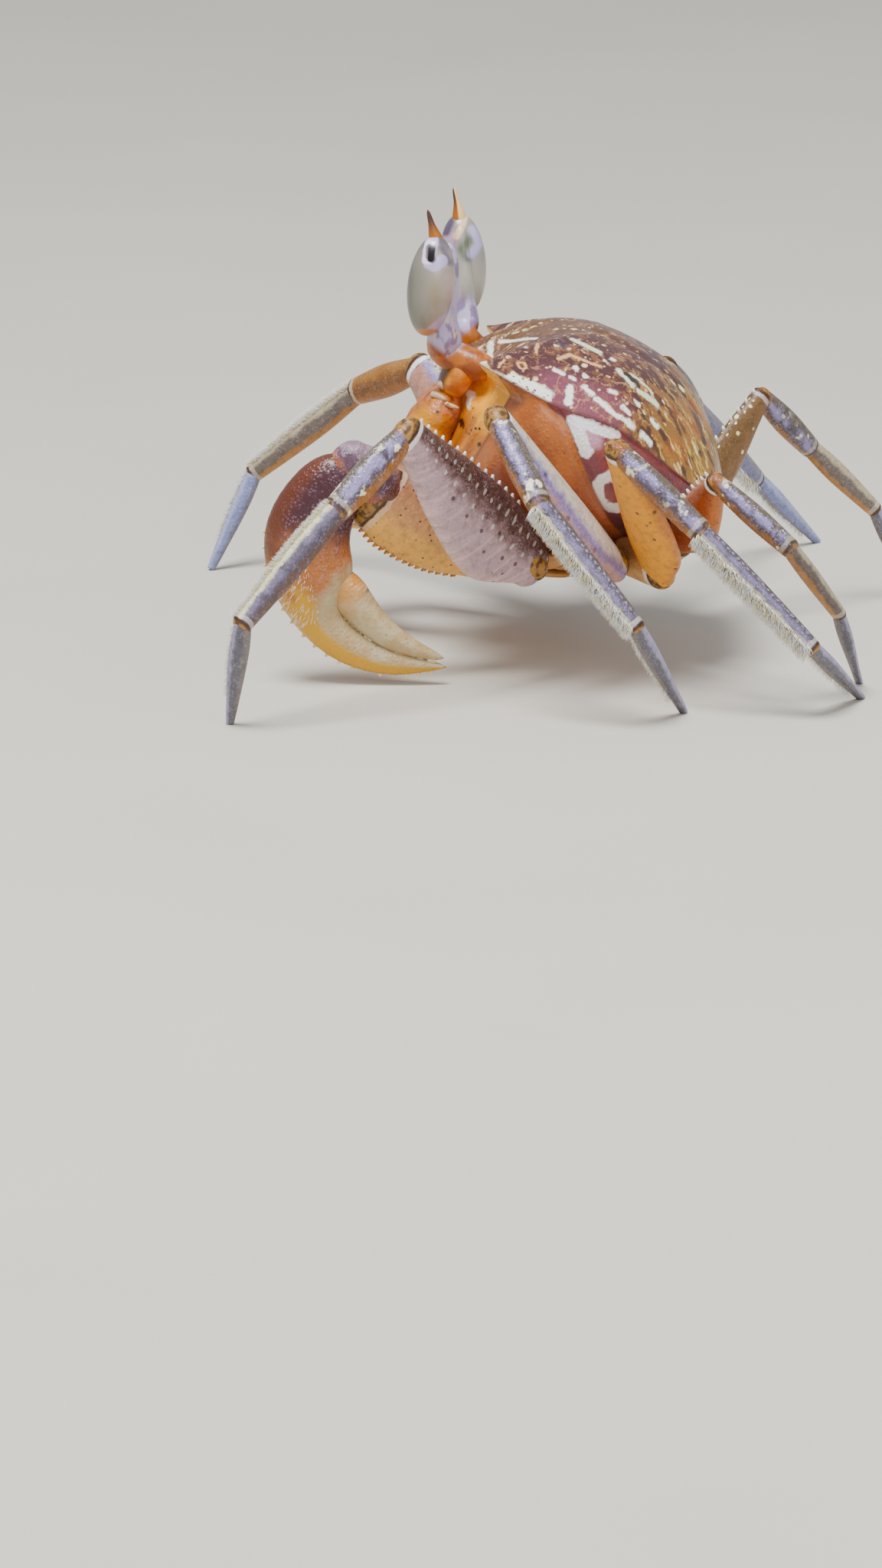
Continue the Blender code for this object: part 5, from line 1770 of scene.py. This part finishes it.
def build_legs():
    legs = {(side, number): build_leg(side, number) for side, number in STANCE}
    few = 1
    cream = Bristles("bristles_cream")
    for i, side in enumerate(("left", "right")):
        for number, part, counts, *measures in FRINGES:
            cream.field(legs[(side, number)][part], counts[i] // few, *measures)
    cream.finish("limb")


def build_teeth(side, parts, size):
    """Teeth along both fingers, and low bumps on the palm's outer edge."""
    teeth = new_surface()
    for name, turn, first, last in (("palm", 0.5, 0.57, 0.96), ("finger", 0.0, 0.55, 0.95)):
        for i, along in enumerate(steps(first, last, 11)):
            root, away = parts[name].at(along, turn)
            big = size * (0.42 if i % 3 == 1 else 0.28)
            add_spike(teeth, root - away * TOOTH_SINK, root + away * big * 1.1, big)
    for along in steps(0.3, 0.96, 18):
        root, away = parts["palm"].at(along, 0.0)
        add_spike(teeth, root - away * TOOTH_SINK, root + away * 0.3 * size, 0.26 * size)
    add_piece("teeth_" + side, teeth, "tooth", "claw")


def build_claw(side):
    parts = claw_parts(side)
    size = CLAW_SIZE[side]
    for (name, part), look in zip(parts.items(), CLAW_LOOKS[side]):
        node = "claw_%s_%s" % (side, name)
        add_piece("skin_" + node, part.surface(), look, "claw", node)
    build_teeth(side, parts, size)
    merus = parts["merus"]
    places, low = steps(0.12, 0.97, 16), merus.turn_of(-merus.over)
    add_spinules("frill_" + side, merus, places, 0.5 * size, 0.3 * size, "orange tooth", "claw", low)
    hairs = Bristles("bristles_claw_" + side)
    hairs.field(parts["palm"], 170, (0.38, 0.55), (0.08, 0.25), 0.7 * size, 0.03)
    hairs.finish("claw")


# Room.

def build_floor():
    tree, shader, place = new_look("floor")
    soft = tree.cloud(place, 0.02, 2.0)
    tree.feed(shader["Base Color"], tree.mix(soft, rgb(206, 202, 194), rgb(214, 210, 202)))
    settle(shader, {"Roughness": 0.8})
    surface = bmesh.new()
    bmesh.ops.create_grid(surface, x_segments=1, y_segments=1, size=2.0)
    floor = add_item("floor", new_mesh("floor", surface, "floor"))


def add_lamp(name, place, size, power):
    light = bpy.data.lights.new(name, "AREA")
    light.size = size
    light.energy = power
    item = add_item(name, light)
    item.location = place
    item.rotation_euler = (Vector((0.0, 0.0, 0.02)) - Vector(place)).to_track_quat("-Z", "Y").to_euler()


def build_light():
    world = bpy.data.worlds.new("world")
    world.use_nodes = True
    settle(world.node_tree.nodes["Background"].inputs, {"Color": (0.86, 0.9, 1.0, 1.0), "Strength": 0.55})
    bpy.context.scene.world = world
    add_lamp("key", (0.2, -0.12, 0.7), 0.3, 9.0)
    add_lamp("fill", (0.6, 0.35, 0.3), 0.5, 2.2)


def build_camera():
    back, right, top = view_axes()
    target = Vector(VIEW_TARGET)
    place = target + back * VIEW_DISTANCE
    ahead = (target - right * VIEW_OFFSET[0] - top * VIEW_OFFSET[1] - place).normalized()
    across = ahead.cross(UPRIGHT).normalized()
    turn = Matrix((across, across.cross(ahead), -ahead)).transposed()
    camera = bpy.data.cameras.new("camera")
    camera.lens = LENS
    camera.sensor_width = SENSOR
    camera.clip_start = 0.01
    camera.clip_end = 10.0
    item = add_item("camera", camera)
    item.matrix_world = Matrix.Translation((place + ROOM_SHIFT) * MM) @ turn.to_4x4()
    bpy.context.scene.camera = item


build_shell()
build_face()
build_eye("left")
build_eye("right")
build_claw("left")
build_claw("right")
build_legs()
build_floor()
build_light()
build_camera()
